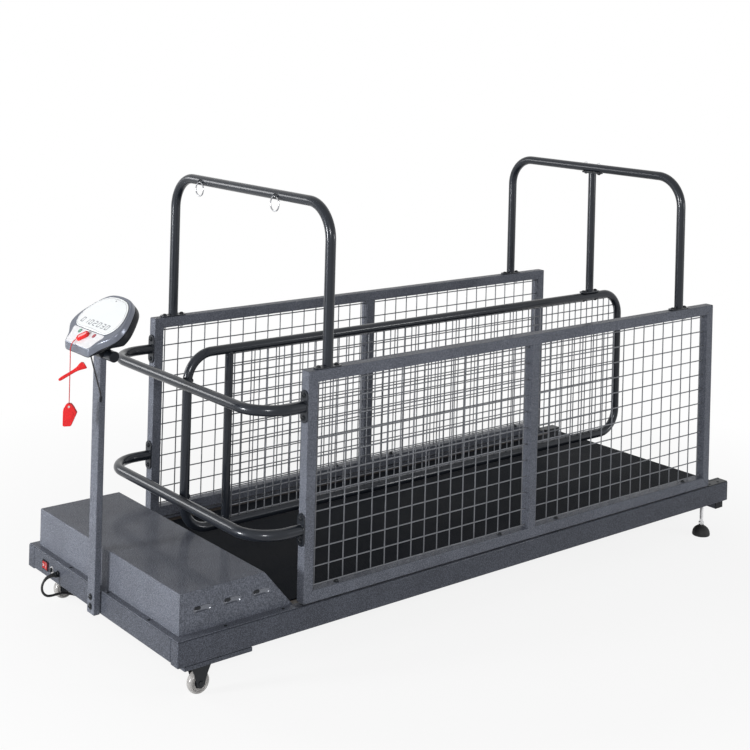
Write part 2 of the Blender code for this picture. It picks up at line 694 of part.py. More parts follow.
def levelling_feet():
    """Rear feet: a rubber dome, a lock nut and a stud that screws up into the rail."""
    top = RAIL_UNDER + STUD_ENGAGEMENT
    nut_low = FOOT_HEIGHT + 6 * MM
    nut_high = nut_low + FOOT_NUT_HEIGHT
    profile = [(0, top), (STUD_RADIUS, top), (STUD_RADIUS, nut_high), (FOOT_NUT_RADIUS, nut_high),
               (FOOT_NUT_RADIUS, nut_low), (STUD_RADIUS, nut_low), (STUD_RADIUS, FOOT_HEIGHT)]
    for k in range(5):
        angle = math.radians(72 - 72 * k / 4)
        rise = math.sin(angle) / math.sin(math.radians(72))
        profile.append((FOOT_RADIUS * math.cos(angle), FOOT_HEIGHT * (0.15 + 0.85 * rise)))
    profile += [(FOOT_RADIUS, 0), (0, 0)]
    for label, side in SIDES:
        add_turned(f"{label}_levelling_foot", profile, "rubber",
                   Matrix.Translation((FOOT_X, side * RAIL_Y, 0)), steps=16)


def running_deck():
    """Deck board, running belt, the two rollers and their fixed shafts."""
    half_width = RAIL_IN - DECK_SIDE_GAP
    pulley_reach = max(ROLLER_PULLEY_RADIUS + DRIVE_BELT_THICKNESS, ROLLER_RADIUS) + DECK_END_GAP
    deck_rear = min(TAIL_X - ROLLER_RADIUS - DECK_END_GAP, TAIL_X - TAIL_BRACKET_LENGTH / 2 - TOUCH)
    add_part("deck_board", box((DRIVE_X + pulley_reach, -half_width, DECK_UNDER),
                               (deck_rear, half_width, DECK_TOP)), "board")
    front = (DRIVE_X, ROLLER_Z)
    rear = (TAIL_X, ROLLER_Z)
    inner = ROLLER_RADIUS + TOUCH
    loops = [belt_outline(front, inner + BELT_THICKNESS, rear, inner + BELT_THICKNESS),
             belt_outline(front, inner, rear, inner)]
    add_part("running_belt", plate(loops, BELT_WIDTH), "rubber", PLANE_XZ)
    half = ROLLER_LENGTH / 2
    shell = ROLLER_RADIUS - ROLLER_WALL
    bore = SHAFT_RADIUS + TOUCH
    step = half - ROLLER_BEARING
    profile = [(ROLLER_RADIUS, half), (ROLLER_RADIUS, -half), (bore, -half), (bore, -step), (shell, -step),
               (shell, step), (bore, step), (bore, half)]
    spans = (("drive", DRIVE_X, RAIL_IN + 2 * RAIL_WALL), ("tail", TAIL_X, RAIL_IN - TOUCH))
    for label, x, reach in spans:
        place = Matrix.Translation((x, 0, ROLLER_Z))
        add_turned(f"{label}_roller", profile, "steel", place @ TO_Y, steps=RING_STEPS)
        add_part(f"{label}_roller_shaft", rod((0, -reach, 0), (0, reach, 0), SHAFT_RADIUS), "steel", place,
                 smooth=True)


def drive():
    """Motor on its saddle bracket, both pulleys, the ribbed drive belt and the motor controller."""
    bore = SHAFT_RADIUS + TOUCH
    add_turned("roller_pulley", sleeve(ROLLER_PULLEY_RADIUS, bore, PULLEY_WIDTH), "satin_black",
               Matrix.Translation((DRIVE_X, PULLEY_Y, ROLLER_Z)) @ TO_Y)
    front = (MOTOR_X, MOTOR_Z)
    rear = (DRIVE_X, ROLLER_Z)
    inner = (MOTOR_PULLEY_RADIUS + TOUCH, ROLLER_PULLEY_RADIUS + TOUCH)
    loops = []
    for extra in (DRIVE_BELT_THICKNESS, 0):
        loops.append(belt_outline(front, inner[0] + extra, rear, inner[1] + extra))
    add_part("drive_belt", plate(loops, DRIVE_BELT_WIDTH), "rubber",
             Matrix.Translation((0, PULLEY_Y, 0)) @ PLANE_XZ)
    half = MOTOR_LENGTH / 2
    socket = 20 * MM
    neck = MOTOR_RADIUS * 0.8
    bell = 14 * MM
    shaft_bore = MOTOR_SHAFT_RADIUS + TOUCH
    body = [(0, half), (neck, half), (MOTOR_RADIUS, half - bell), (MOTOR_RADIUS, bell - half), (neck, -half),
            (shaft_bore, -half), (shaft_bore, socket - half), (0, socket - half)]
    middle = MOTOR_NEAR_Y + half
    add_turned("drive_motor", body, "motor_grey", Matrix.Translation((MOTOR_X, middle, MOTOR_Z)) @ TO_Y)
    shaft_in = MOTOR_NEAR_Y + socket - TOUCH
    pulley_low = PULLEY_Y - PULLEY_WIDTH / 2
    pulley_high = PULLEY_Y + PULLEY_WIDTH / 2
    spindle = [(0, shaft_in), (MOTOR_SHAFT_RADIUS, shaft_in), (MOTOR_SHAFT_RADIUS, pulley_high),
               (MOTOR_PULLEY_RADIUS, pulley_high), (MOTOR_PULLEY_RADIUS, pulley_low), (0, pulley_low)]
    add_turned("motor_pulley", spindle, "steel", Matrix.Translation((MOTOR_X, 0, MOTOR_Z)) @ TO_Y, steps=24)
    bracket_front = BEAM_FRONT + BEAM_DEPTH + TOUCH
    wide = RAIL_IN - TOUCH
    bracket = add_part("motor_bracket",
                       box((bracket_front, -wide, BRACKET_TOP - BRACKET_SHEET),
                           (bracket_front + BRACKET_LENGTH, wide, BRACKET_TOP)), "satin_black")
    saddle_low = BRACKET_TOP - BRACKET_SHEET / 2
    saddle_high = MOTOR_Z - MOTOR_RADIUS / 3
    for offset in (-MOTOR_LENGTH / 4, MOTOR_LENGTH / 4):
        y = middle + offset
        combine(bracket, "UNION", box((MOTOR_X - SADDLE_LENGTH / 2, y - SADDLE_SHEET / 2, saddle_low),
                                      (MOTOR_X + SADDLE_LENGTH / 2, y + SADDLE_SHEET / 2, saddle_high)))
    combine(bracket, "DIFFERENCE", rod((MOTOR_X, middle - half, MOTOR_Z), (MOTOR_X, middle + half, MOTOR_Z),
                                       MOTOR_RADIUS + TOUCH, RING_STEPS))
    fins = [(-CONTROLLER_WIDTH / 2, 0), (CONTROLLER_WIDTH / 2, 0)]
    pitch = CONTROLLER_WIDTH / (2 * CONTROLLER_FINS - 1)
    root = CONTROLLER_HEIGHT * 0.6
    for k in range(CONTROLLER_FINS):
        right = CONTROLLER_WIDTH / 2 - 2 * k * pitch
        fins += [(right, CONTROLLER_HEIGHT), (right - pitch, CONTROLLER_HEIGHT)]
        if k < CONTROLLER_FINS - 1:
            fins += [(right - pitch, root), (right - 2 * pitch, root)]
    seat = Matrix.Translation((bracket_front + BRACKET_LENGTH / 2, RAIL_IN / 2, BRACKET_TOP + TOUCH))
    add_part("motor_controller", plate([fins], CONTROLLER_LENGTH), "black_plastic", seat @ PLANE_YZ)


def motor_cover():
    """Folded sheet cover with an upright front, a sloping back and a lip on three sides."""
    foot = RAIL_TOP + TOUCH
    top = RAIL_TOP + COVER_HEIGHT
    half = PANEL_SPAN / 2 - COVER_INSET
    lean = (COVER_TOP_REAR - COVER_REAR) / (top - foot)
    shift = COVER_SHEET * math.hypot(1, lean)
    outer = [(-COVER_FRONT, foot), (-COVER_REAR, foot), (-COVER_TOP_REAR, top), (-COVER_FRONT, top)]
    low = foot - COVER_SHEET
    high = top - COVER_SHEET
    inner = [(COVER_SHEET - COVER_FRONT, low), (-COVER_REAR - shift + COVER_SHEET * lean, low),
             (-COVER_TOP_REAR - shift + COVER_SHEET * lean, high), (COVER_SHEET - COVER_FRONT, high)]
    cover = add_part("motor_cover", plate([outer], 2 * half), "hammertone", PLANE_XZ)
    combine(cover, "UNION", box((-COVER_FRONT - COVER_LIP, -half - COVER_SIDE_LIP, foot),
                                (-COVER_REAR - 2 * shift, half + COVER_SIDE_LIP, foot + COVER_SHEET)))
    combine(cover, "DIFFERENCE", plate([inner], 2 * (half - COVER_SHEET)), PLANE_XZ)


def side_panels():
    """Mitred frames bolted to the rails, each with two welded mesh sheets."""
    middle = PANEL_LENGTH / 2
    windows = ((PANEL_TUBE, middle - PANEL_TUBE / 2), (middle + PANEL_TUBE / 2, PANEL_LENGTH - PANEL_TUBE))
    low = PANEL_BOTTOM + PANEL_TUBE
    high = PANEL_TOP - PANEL_TUBE
    for label, side in SIDES:
        y = side * PANEL_Y
        half = PANEL_TUBE / 2
        frame = add_part(f"{label}_panel_frame", box((0, y - half, PANEL_BOTTOM),
                                                     (PANEL_LENGTH, y + half, PANEL_TOP)), "hammertone")
        for start, end in windows:
            combine(frame, "DIFFERENCE", box((start, y - PANEL_TUBE, low), (end, y + PANEL_TUBE, high)))
        spots = (PANEL_BOLT_INSET, middle - PANEL_BOLT_INSET, middle + PANEL_BOLT_INSET,
                 PANEL_LENGTH - PANEL_BOLT_INSET)
        for x in spots:
            combine(frame, "UNION", rod((x, y, RAIL_TOP + TOUCH), (x, y, low + PANEL_BOLT_HEAD),
                                        PANEL_BOLT_RADIUS, 10))
        for part_label, (start, end) in zip(("front", "rear"), windows):
            stub = MESH_END_GAP - WIRE / 2 - TOUCH
            grid = lattice(start + MESH_END_GAP, end - MESH_END_GAP, low + MESH_EDGE_GAP,
                           high - MESH_EDGE_GAP, MESH_COLUMNS, MESH_ROWS, stub)
            add_part(f"{label}_{part_label}_mesh", plate(grid, WIRE), "wire",
                     Matrix.Translation((0, y, 0)) @ PLANE_XZ)


def add_flange(obj, place):
    """Welds an oval bolting plate with two dome-head bolts to a tube end. Its own +Z faces the tube."""
    combine(obj, "UNION", plate([capsule(FLANGE_LENGTH, FLANGE_WIDTH)], FLANGE_SHEET),
            place @ Matrix.Translation((0, 0, TOUCH + FLANGE_SHEET / 2)))
    for way in (-1, 1):
        head = rod((0, way * FLANGE_BOLTS / 2, FLANGE_SHEET / 2),
                   (0, way * FLANGE_BOLTS / 2, FLANGE_SHEET + BOLT_HEAD_HEIGHT), BOLT_HEAD_RADIUS, 10)
        combine(obj, "UNION", head, place)


def u_rails():
    """Two horizontal U-shaped tubes across the front, bolted to the front uprights."""
    for label, z in (("upper", UPPER_U_Z), ("lower", LOWER_U_Z)):
        start = -TOUCH - FLANGE_SHEET / 2
        corners = [(start, -PANEL_Y, z), (-U_REACH, -PANEL_Y, z), (-U_REACH, PANEL_Y, z), (start, PANEL_Y, z)]
        rail = add_part(f"{label}_u_rail", tube(rounded_path(corners, BEND_RADIUS), TUBE_RADIUS), "tube_grey",
                        smooth=True)
        for way in (-1, 1):
            face = Matrix(((0, 0, -1, 0), (-1, 0, 0, way * PANEL_Y), (0, 1, 0, z), (0, 0, 0, 1)))
            add_flange(rail, face)


def hoops():
    """Front and rear arches on the panels. The front one carries two eyes, the rear one two nuts."""
    for label, x in (("front", FRONT_HOOP_X), ("rear", REAR_HOOP_X)):
        foot = PANEL_TOP + TOUCH + FLANGE_SHEET / 2
        corners = [(x, -PANEL_Y, foot), (x, -PANEL_Y, HOOP_Z), (x, PANEL_Y, HOOP_Z), (x, PANEL_Y, foot)]
        hoop = add_part(f"{label}_hoop", tube(rounded_path(corners, BEND_RADIUS), TUBE_RADIUS), "tube_grey",
                        smooth=True)
        quarter = Matrix.Rotation(math.pi / 2, 4, "Z")
        for way in (-1, 1):
            add_flange(hoop, Matrix.Translation((x, way * PANEL_Y, PANEL_TOP)) @ quarter)
            if label == "rear":
                bolt = way * FLANGE_BOLTS / 2
                crown = HOOP_Z + TUBE_RADIUS + BOLT_HEAD_HEIGHT
                combine(hoop, "UNION", rod((x, bolt, HOOP_Z), (x, bolt, crown), BOLT_HEAD_RADIUS, 10))
        if label == "front":
            for y in (RING_NEAR_Y, RING_FAR_Y):
                combine(hoop, "UNION", torus((EYE_X, y, EYE_Z), EYE_RADIUS, RING_WIRE, PLANE_XZ, 12))


def centre_tube():
    """Hanger between the rear hoop and the divider, with a bolting plate at each end."""
    low = DIVIDER_TOP_Z + DIVIDER_RADIUS
    high = HOOP_Z - TUBE_RADIUS
    inset = TOUCH + FLANGE_SHEET / 2
    hanger = add_part("centre_tube", rod((REAR_HOOP_X, 0, low + inset), (REAR_HOOP_X, 0, high - inset),
                                         CENTRE_TUBE_RADIUS), "tube_grey", smooth=True)
    over = Matrix.Rotation(math.pi, 4, "X")
    add_flange(hanger, Matrix.Translation((REAR_HOOP_X, 0, high)) @ over)
    add_flange(hanger, Matrix.Translation((REAR_HOOP_X, 0, low)) @ Matrix.Rotation(math.pi / 2, 4, "Z"))


def divider():
    """The lane divider: a closed tube loop with a second upright, its bolts and its mesh sheet."""
    corners = [(DIVIDER_FRONT_X, 0, DIVIDER_BOTTOM_Z), (DIVIDER_REAR_X, 0, DIVIDER_BOTTOM_Z),
               (DIVIDER_REAR_X, 0, DIVIDER_TOP_Z), (DIVIDER_FRONT_X, 0, DIVIDER_TOP_Z)]
    frame = add_part("divider_frame", tube(rounded_path(corners, DIVIDER_BEND, closed=True), DIVIDER_RADIUS,
                                           closed=True), "tube_grey", smooth=True)
    combine(frame, "UNION", rod((DIVIDER_UPRIGHT_X, 0, DIVIDER_BOTTOM_Z),
                                (DIVIDER_UPRIGHT_X, 0, DIVIDER_TOP_Z), DIVIDER_UPRIGHT_RADIUS))
    for z in (UPPER_U_Z, LOWER_U_Z):
        combine(frame, "UNION", rod((DIVIDER_FRONT_X, 0, z),
                                    (DIVIDER_FRONT_X + DIVIDER_RADIUS + BOLT_HEAD_HEIGHT, 0, z),
                                    BOLT_HEAD_RADIUS, 10))
    for way in (-1, 1):
        x = REAR_HOOP_X + way * FLANGE_BOLTS / 2
        crown = DIVIDER_TOP_Z - DIVIDER_RADIUS - BOLT_HEAD_HEIGHT
        combine(frame, "UNION", rod((x, 0, crown), (x, 0, DIVIDER_TOP_Z), BOLT_HEAD_RADIUS, 10))
    margin = DIVIDER_MESH_MARGIN
    left = DIVIDER_UPRIGHT_X + DIVIDER_UPRIGHT_RADIUS
    right = DIVIDER_REAR_X - DIVIDER_RADIUS
    low = DIVIDER_BOTTOM_Z + DIVIDER_RADIUS
    high = DIVIDER_TOP_Z - DIVIDER_RADIUS
    grid = lattice(left + margin, right - margin, low + margin, high - margin, DIVIDER_COLUMNS, DIVIDER_ROWS,
                   margin - WIRE / 2 - TOUCH)
    add_part("divider_mesh", plate(grid, WIRE), "wire", PLANE_XZ)


def tie_rings():
    """Two loose rings that hang in eyes on the front hoop's face and swing outward about them."""
    seat = EYE_Z - EYE_RADIUS + 2 * RING_WIRE + TOUCH
    drop = seat - RING_RADIUS
    for label, y in (("near", RING_NEAR_Y), ("far", RING_FAR_Y)):
        pivot = Matrix.Translation((EYE_X, y, seat))
        ring = torus((0, 0, drop - seat), RING_RADIUS, RING_WIRE, PLANE_YZ, 24)
        add_part(f"{label}_tie_ring", ring, "chrome", pivot, smooth=True)


def shield(low, scale=1.0, inset=0.0):
    """The console's outline, wide at the brow, with its lower edge at the given height."""
    rise = SHIELD_WIDE - low
    spread = SHIELD_HALF - CHIN_HALF
    brow = [(SHIELD_HALF, SHIELD_WIDE), (SHIELD_HALF * 0.96, SHIELD_WIDE * 0.57 + SHOULDER_UP * 0.43),
            (SHOULDER_HALF, SHOULDER_UP), (SHOULDER_HALF * 0.76, SHIELD_TOP * 0.875),
            (SHIELD_TOP_HALF, SHIELD_TOP * 0.97), (0.0, SHIELD_TOP)]
    chin = [(0.0, low), (CHIN_HALF * 0.86, low), (CHIN_HALF * 1.02, low + rise * 0.1),
            (CHIN_HALF + spread * 0.3, low + rise * 0.38), (CHIN_HALF + spread * 0.82, low + rise * 0.72)]
    if inset:
        chin = [(0.0, low), (SHIELD_HALF * 0.78, low + rise * 0.15)]
    half = chin + brow
    centre = Vector((0, SHIELD_TOP * 0.36))
    loop = [Vector(p) for p in half] + [Vector((-x, y)) for x, y in reversed(half[1:-1])]
    outline = []
    for point in loop:
        arm = point - centre
        outline.append(centre + arm * (scale - inset / arm.length))
    return [(p.x, p.y) for p in outline]


def loft(rings):
    """A closed solid through a stack of outlines, each with its own height."""
    bm = bmesh.new()
    loops = [[bm.verts.new((x, y, height)) for x, y in outline] for outline, height in rings]
    for low, high in zip(loops, loops[1:]):
        for k in range(len(low)):
            after = (k + 1) % len(low)
            bm.faces.new((low[k], low[after], high[after], high[k]))
    bm.faces.new(loops[0])
    bm.faces.new(reversed(loops[-1]))
    bmesh.ops.recalc_face_normals(bm, faces=bm.faces)
    return mesh_of(bm, "loft")


def console_place():
    """The console's own frame: x to the near side, y up the face, z out of the face."""
    tilt = CONSOLE_TILT
    out = Vector((-math.cos(tilt), 0, math.sin(tilt)))
    up = Vector((math.sin(tilt), 0, math.cos(tilt)))
    near = Vector((0, -1, 0))
    foot = Vector((POST_X, CONSOLE_SIDE, T_BAR_HEIGHT)) + out * CONSOLE_OFFSET
    place = Matrix((near, up, out)).transposed().to_4x4()
    place.translation = foot
    return place


def console_post():
    """Flat tube post bolted to the front beam, with a short round cross tube welded on top."""
    front = POST_X - POST_DEPTH / 2
    post = add_part("console_post",
                    box((front, -POST_WIDTH / 2, BEAM_BOTTOM - POST_DROP),
                        (POST_X + POST_DEPTH / 2, POST_WIDTH / 2, T_BAR_HEIGHT)), "hammertone")
    combine(post, "UNION", rod((POST_X, -T_BAR_LENGTH / 2, T_BAR_HEIGHT),
                               (POST_X, T_BAR_LENGTH / 2, T_BAR_HEIGHT), TUBE_RADIUS))
    for z in (BEAM_BOTTOM + POST_BOLT_LOW, BEAM_BOTTOM + POST_BOLT_LOW + POST_BOLT_RISE):
        combine(post, "UNION", rod((POST_X, 0, z), (front - BOLT_HEAD_HEIGHT, 0, z), BOLT_HEAD_RADIUS, 10))


def console():
    """Console housing in two shells, display panel, two push keys and the magnetic safety key."""
    place = console_place()
    rear_face = -FACE_THICKNESS - TOUCH
    flared = CHIN_LOW - CHIN_FLARE
    shell = [(shield(flared, BACK_TAPER), rear_face),
             (shield(BACK_CHIN_LOW, BACK_TAPER), rear_face - BACK_DEPTH)]
    back = add_part("console_back", loft(shell), "black_plastic", place)
    seat = -CONSOLE_OFFSET + CLAMP_WRAP
    combine(back, "UNION", box((-CLAMP_WIDTH / 2, -CLAMP_HEIGHT / 2, seat),
                               (CLAMP_WIDTH / 2, CLAMP_HEIGHT / 2, rear_face - BACK_DEPTH / 2)), place)
    combine(back, "DIFFERENCE", rod((-CLAMP_WIDTH, 0, -CONSOLE_OFFSET), (CLAMP_WIDTH, 0, -CONSOLE_OFFSET),
                                    TUBE_RADIUS + TOUCH), place)
    rim = [(shield(CHIN_LOW), 0), (shield(flared), -FACE_THICKNESS)]
    face = add_part("console_face", loft(rim), "silver", place)
    add_part("display_panel", plate([shield(DISPLAY_LOW, inset=DISPLAY_RIM)], DISPLAY_THICKNESS), "white",
             place @ Matrix.Translation((0, 0, TOUCH + DISPLAY_THICKNESS / 2)))
    for label, way, finish in (("start", -1, "green"), ("stop", 1, "red")):
        x = way * KEY_SPREAD
        combine(face, "DIFFERENCE", rod((x, 0, -KEY_POCKET), (x, 0, KEY_POCKET), KEY_RADIUS + TOUCH), place)
        add_part(f"{label}_key", rod((0, 0, KEY_PROUD - KEY_LENGTH), (0, 0, KEY_PROUD), KEY_RADIUS), finish,
                 place @ Matrix.Translation((x, 0, 0)), smooth=True)
    add_part("safety_key", plate([capsule(SAFETY_KEY_LENGTH, SAFETY_KEY_WIDTH)], SAFETY_KEY_HEIGHT), "red",
             place @ Matrix.Translation((0, SAFETY_KEY_LOW, TOUCH + SAFETY_KEY_HEIGHT / 2))
             @ Matrix.Rotation(SAFETY_KEY_TURN, 4, "Z"))


def console_cords():
    """The lanyard with its toggle and clip, and the short cable with a plug under the console."""
    place = console_place()
    down = -UP
    lift = SAFETY_KEY_HEIGHT / 2
    axis = Vector((math.sin(SAFETY_KEY_TURN), -math.cos(SAFETY_KEY_TURN), 0))
    end = Vector((0, SAFETY_KEY_LOW, lift)) + axis * (SAFETY_KEY_LENGTH / 2 + TOUCH)
    start = place @ end
    out = (place.to_3x3() @ axis).normalized()
    over = place @ Vector((end.x, CHIN_LOW + LANYARD_RADIUS, lift))
    hang = place @ Vector((end.x, CHIN_LOW - CHIN_FLARE * 0.4 - LANYARD_EDGE, 0))
    toggle_top = hang + down * LANYARD_DROP
    knots = [over, hang + down * LANYARD_EDGE, hang + down * LANYARD_DROP / 2]
    points, upper_length = cord_path(start, out, knots, toggle_top, UP, LANYARD_RADIUS)
    clip_top = toggle_top + down * (TOGGLE_THICKNESS + LANYARD_LOWER)
    points.append(clip_top)
    add_part("safety_lanyard", tube_curve(points, LANYARD_RADIUS, 2), "red")
    print("lanyard length", round(upper_length + LANYARD_LOWER + TOGGLE_THICKNESS, 4))
    middle = toggle_top + down * TOGGLE_THICKNESS / 2
    turn = Matrix.Rotation(LANYARD_TURN, 4, "Z")
    slim = TOGGLE_WIDTH / 2
    flare = TOGGLE_FLARE / 2
    outline = [(-TOGGLE_SHORT_ARM, -slim * 0.5), (-TOGGLE_SHORT_ARM + slim, -slim),
               (TOGGLE_LONG_ARM / 2, -slim), (TOGGLE_LONG_ARM, -flare), (TOGGLE_LONG_ARM, flare * 0.7),
               (TOGGLE_LONG_ARM * 0.8, flare), (TOGGLE_LONG_ARM / 2, slim * 1.2),
               (-TOGGLE_SHORT_ARM + slim, slim), (-TOGGLE_SHORT_ARM, slim * 0.5)]
    bead = add_part("lanyard_toggle", plate([outline], TOGGLE_THICKNESS), "red",
                    Matrix.Translation(middle) @ turn @ Matrix.Rotation(TOGGLE_SLANT, 4, "Y") @ PLANE_XZ)
    combine(bead, "DIFFERENCE", rod(middle - down * TOGGLE_FLARE, middle + down * TOGGLE_FLARE,
                                    LANYARD_RADIUS + TOUCH, 12))
    half = CLIP_WIDTH / 2
    clip = [(x * half, y * CLIP_LENGTH) for x, y in
            ((-0.2, 0), (-0.55, -0.13), (-0.8, -0.31), (-0.82, -0.96), (-0.62, -1), (0.35, -0.98),
             (1.15, -0.39), (0.7, -0.15), (0.28, 0))]
    add_part("lanyard_clip", plate([clip], CLIP_THICKNESS), "red",
             Matrix.Translation(clip_top + down * TOUCH) @ turn @ PLANE_XZ)
    sill = [Vector((CABLE_EXIT_SIDE, *shield(low, BACK_TAPER)[0][1:], -FACE_THICKNESS - depth))
            for low, depth in ((CHIN_LOW - CHIN_FLARE, TOUCH), (BACK_CHIN_LOW, TOUCH + BACK_DEPTH))]
    under = (place.to_3x3() @ (sill[1] - sill[0]).cross(Vector((1, 0, 0)))).normalized()
    leave = place @ sill[0].lerp(sill[1], 0.5) + under * TOUCH
    plug_top = Vector((POST_X - CABLE_PLUG_FRONT, -CABLE_PLUG_SIDE, CABLE_PLUG_HEIGHT))
    points, length = cord_path(leave, under, [leave.lerp(plug_top, 0.5)], plug_top, UP, CABLE_RADIUS)
    add_part("console_cable", tube_curve(points, CABLE_RADIUS, 2), "black_plastic")
    add_part("console_cable_plug", rod(plug_top + down * TOUCH, plug_top + down * (TOUCH + CABLE_PLUG_LENGTH),
                                       CABLE_PLUG_RADIUS, 16), "black_plastic", smooth=True)
    print("console cable length", round(length, 4))


def beam_controls():
    """Rocker switch, pop-out breaker button and cord gland in the front beam's face."""
    half = SWITCH_WIDTH / 2
    rise = SWITCH_HEIGHT / 2
    rocker = [(-half, -SWITCH_DEPTH), (half, -SWITCH_DEPTH), (half, SWITCH_PROUD), (0, SWITCH_PROUD * 0.45),
              (-half, SWITCH_PROUD)]
    across = Matrix(((0, -1, 0, BEAM_FRONT), (1, 0, 0, SWITCH_Y), (0, 0, 1, BEAM_MIDDLE), (0, 0, 0, 1)))
    add_part("rocker_switch", plate([rocker], 2 * rise), "red", across)
    outward = Matrix.Translation((BEAM_FRONT, BREAKER_Y, BEAM_MIDDLE)) @ TO_MINUS_X
    add_turned("breaker_button", [(0, BREAKER_PROUD), (BREAKER_RADIUS * 0.8, BREAKER_PROUD),
                                  (BREAKER_RADIUS, BREAKER_PROUD * 0.8), (BREAKER_RADIUS, -BREAKER_DEPTH),
                                  (0, -BREAKER_DEPTH)], "black_plastic", outward, steps=20)
    outward = Matrix.Translation((BEAM_FRONT, GLAND_Y, BEAM_MIDDLE)) @ TO_MINUS_X
    socket = CORD_RADIUS
    add_turned("cord_gland", [(0, GLAND_LENGTH), (socket, GLAND_LENGTH), (GLAND_NECK, GLAND_LENGTH),
                              (GLAND_RADIUS, GLAND_LENGTH * 0.4), (GLAND_RADIUS, TOUCH), (GLAND_NECK, TOUCH),
                              (GLAND_NECK, -RAIL_WALL), (0, -RAIL_WALL)], "black_plastic", outward, steps=20)


def coil_points(centre):
    """One unbroken run of loops: a layer spiralling in, then one spiralling out on top of it."""
    points = []
    inner = COIL_MEAN_RADIUS - COIL_STEP * COIL_TURNS / 2
    for k in range(2 * COIL_TURNS * COIL_POINTS + 1):
        turns = k / COIL_POINTS - COIL_TURNS
        radius = inner + COIL_STEP * abs(turns)
        climb = min(1.0, max(0.0, 0.5 + 2 * turns))
        angle = 2 * math.pi * turns - math.pi / 2
        reach = Vector((radius * math.cos(angle), radius * math.sin(angle), COIL_RISE * climb))
        points.append(centre + reach)
    return points


def least_gap(points, radius):
    """The least distance between the skins of two loops, measured on the tube's own points."""
    best = 1.0
    for i, a in enumerate(points):
        for b in points[i + COIL_POINTS // 2:]:
            best = min(best, (a - b).length - 2 * radius)
    return best


def mains_cord():
    """The cord from the gland under the beam to the floor, its coil and its plug."""
    floor = CORD_RADIUS
    centre = Vector((BEAM_FRONT + COIL_BEHIND, COIL_Y, floor))
    loops = coil_points(centre)
    straight = 2 * CORD_RADIUS
    first = loops[0]
    tangent = Vector((1, 0, 0))
    lead = first - tangent * straight
    last = loops[-1]
    leave = (loops[-1] - loops[-2]).normalized()
    loops = [lead] + loops + [last + leave * COIL_TAIL / 2, last + leave * COIL_TAIL]
    print("least coil gap", round(least_gap(loops, CORD_RADIUS), 5))
    coil_length = sum((b - a).length for a, b in zip(loops, loops[1:]))
    add_part("power_cord_coil", tube_curve(loops, CORD_RADIUS, 1), "rubber")
    mouth = Vector((BEAM_FRONT - GLAND_LENGTH - TOUCH, GLAND_Y, BEAM_MIDDLE))
    knots = []
    for k in range(1, 7):
        angle = math.pi * k / 6
        turn = Vector((-math.sin(angle), 0, math.cos(angle) - 1))
        knots.append(mouth + Vector((-2 * CORD_RADIUS, 0, 0)) + turn * CORD_BEND)
    low = knots[-1]
    for share, drop in ((0.2, 0.03), (0.45, 0.3), (0.65, 0.7), (0.83, 0.96)):
        knots.append(low.lerp(lead, share))
        knots[-1].z = low.z + drop * (floor - low.z)
    points, lead_length = cord_path(mouth, Vector((-1, 0, 0)), knots, lead - tangent * TOUCH, -tangent,
                                    CORD_RADIUS)
    add_part("power_cord", tube_curve(points, CORD_RADIUS, 2), "rubber")
    nose = loops[-1] + leave * TOUCH
    drop = Matrix.Translation(nose) @ UP.rotation_difference(leave).to_matrix().to_4x4()
    profile = [(0, PLUG_LENGTH), (PLUG_RADIUS, PLUG_LENGTH), (PLUG_RADIUS, PLUG_LENGTH * 0.4),
               (CORD_RADIUS * 1.2, 0), (0, 0)]
    add_turned("power_plug", profile, "rubber", drop, steps=20)
    print("mains cord: lead", round(lead_length, 3), "coil", round(coil_length, 3))


def centre_on_footprint():
    """Moves everything so that the object's footprint, without its mains cord, is centred on x = 0."""
    bpy.context.view_layer.update()
    loose = ("power_cord", "power_cord_coil", "power_plug", "safety_lanyard", "lanyard_toggle",
             "lanyard_clip", "console_cable", "console_cable_plug")
    graph = bpy.context.evaluated_depsgraph_get()
    xs = []
    for obj in COLLECTIONS["dog_treadmill"].objects:
        if obj.name not in loose:
            solid = obj.evaluated_get(graph)
            xs += [(solid.matrix_world @ vert.co).x for vert in solid.data.vertices]
    shift = -(min(xs) + max(xs)) / 2
    for collection in COLLECTIONS.values():
        for obj in collection.objects:
            obj.matrix_world = Matrix.Translation((shift, 0, 0)) @ obj.matrix_world
    print("x shift", round(shift, 6), "length", round(max(xs) - min(xs), 4))


def main():
    start_scene()
    base_frame()
    casters()
    levelling_feet()
    running_deck()
    drive()
    motor_cover()
    side_panels()
    u_rails()
    hoops()
    centre_tube()
    divider()
    tie_rings()
    console_post()
    console()
    console_cords()
    beam_controls()
    mains_cord()
    centre_on_footprint()


main()
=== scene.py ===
"""Two-lane dog treadmill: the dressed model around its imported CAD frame."""

import math

import bmesh
import bpy
from bpy.props import FloatProperty, FloatVectorProperty, PointerProperty
from mathutils import Matrix, Vector


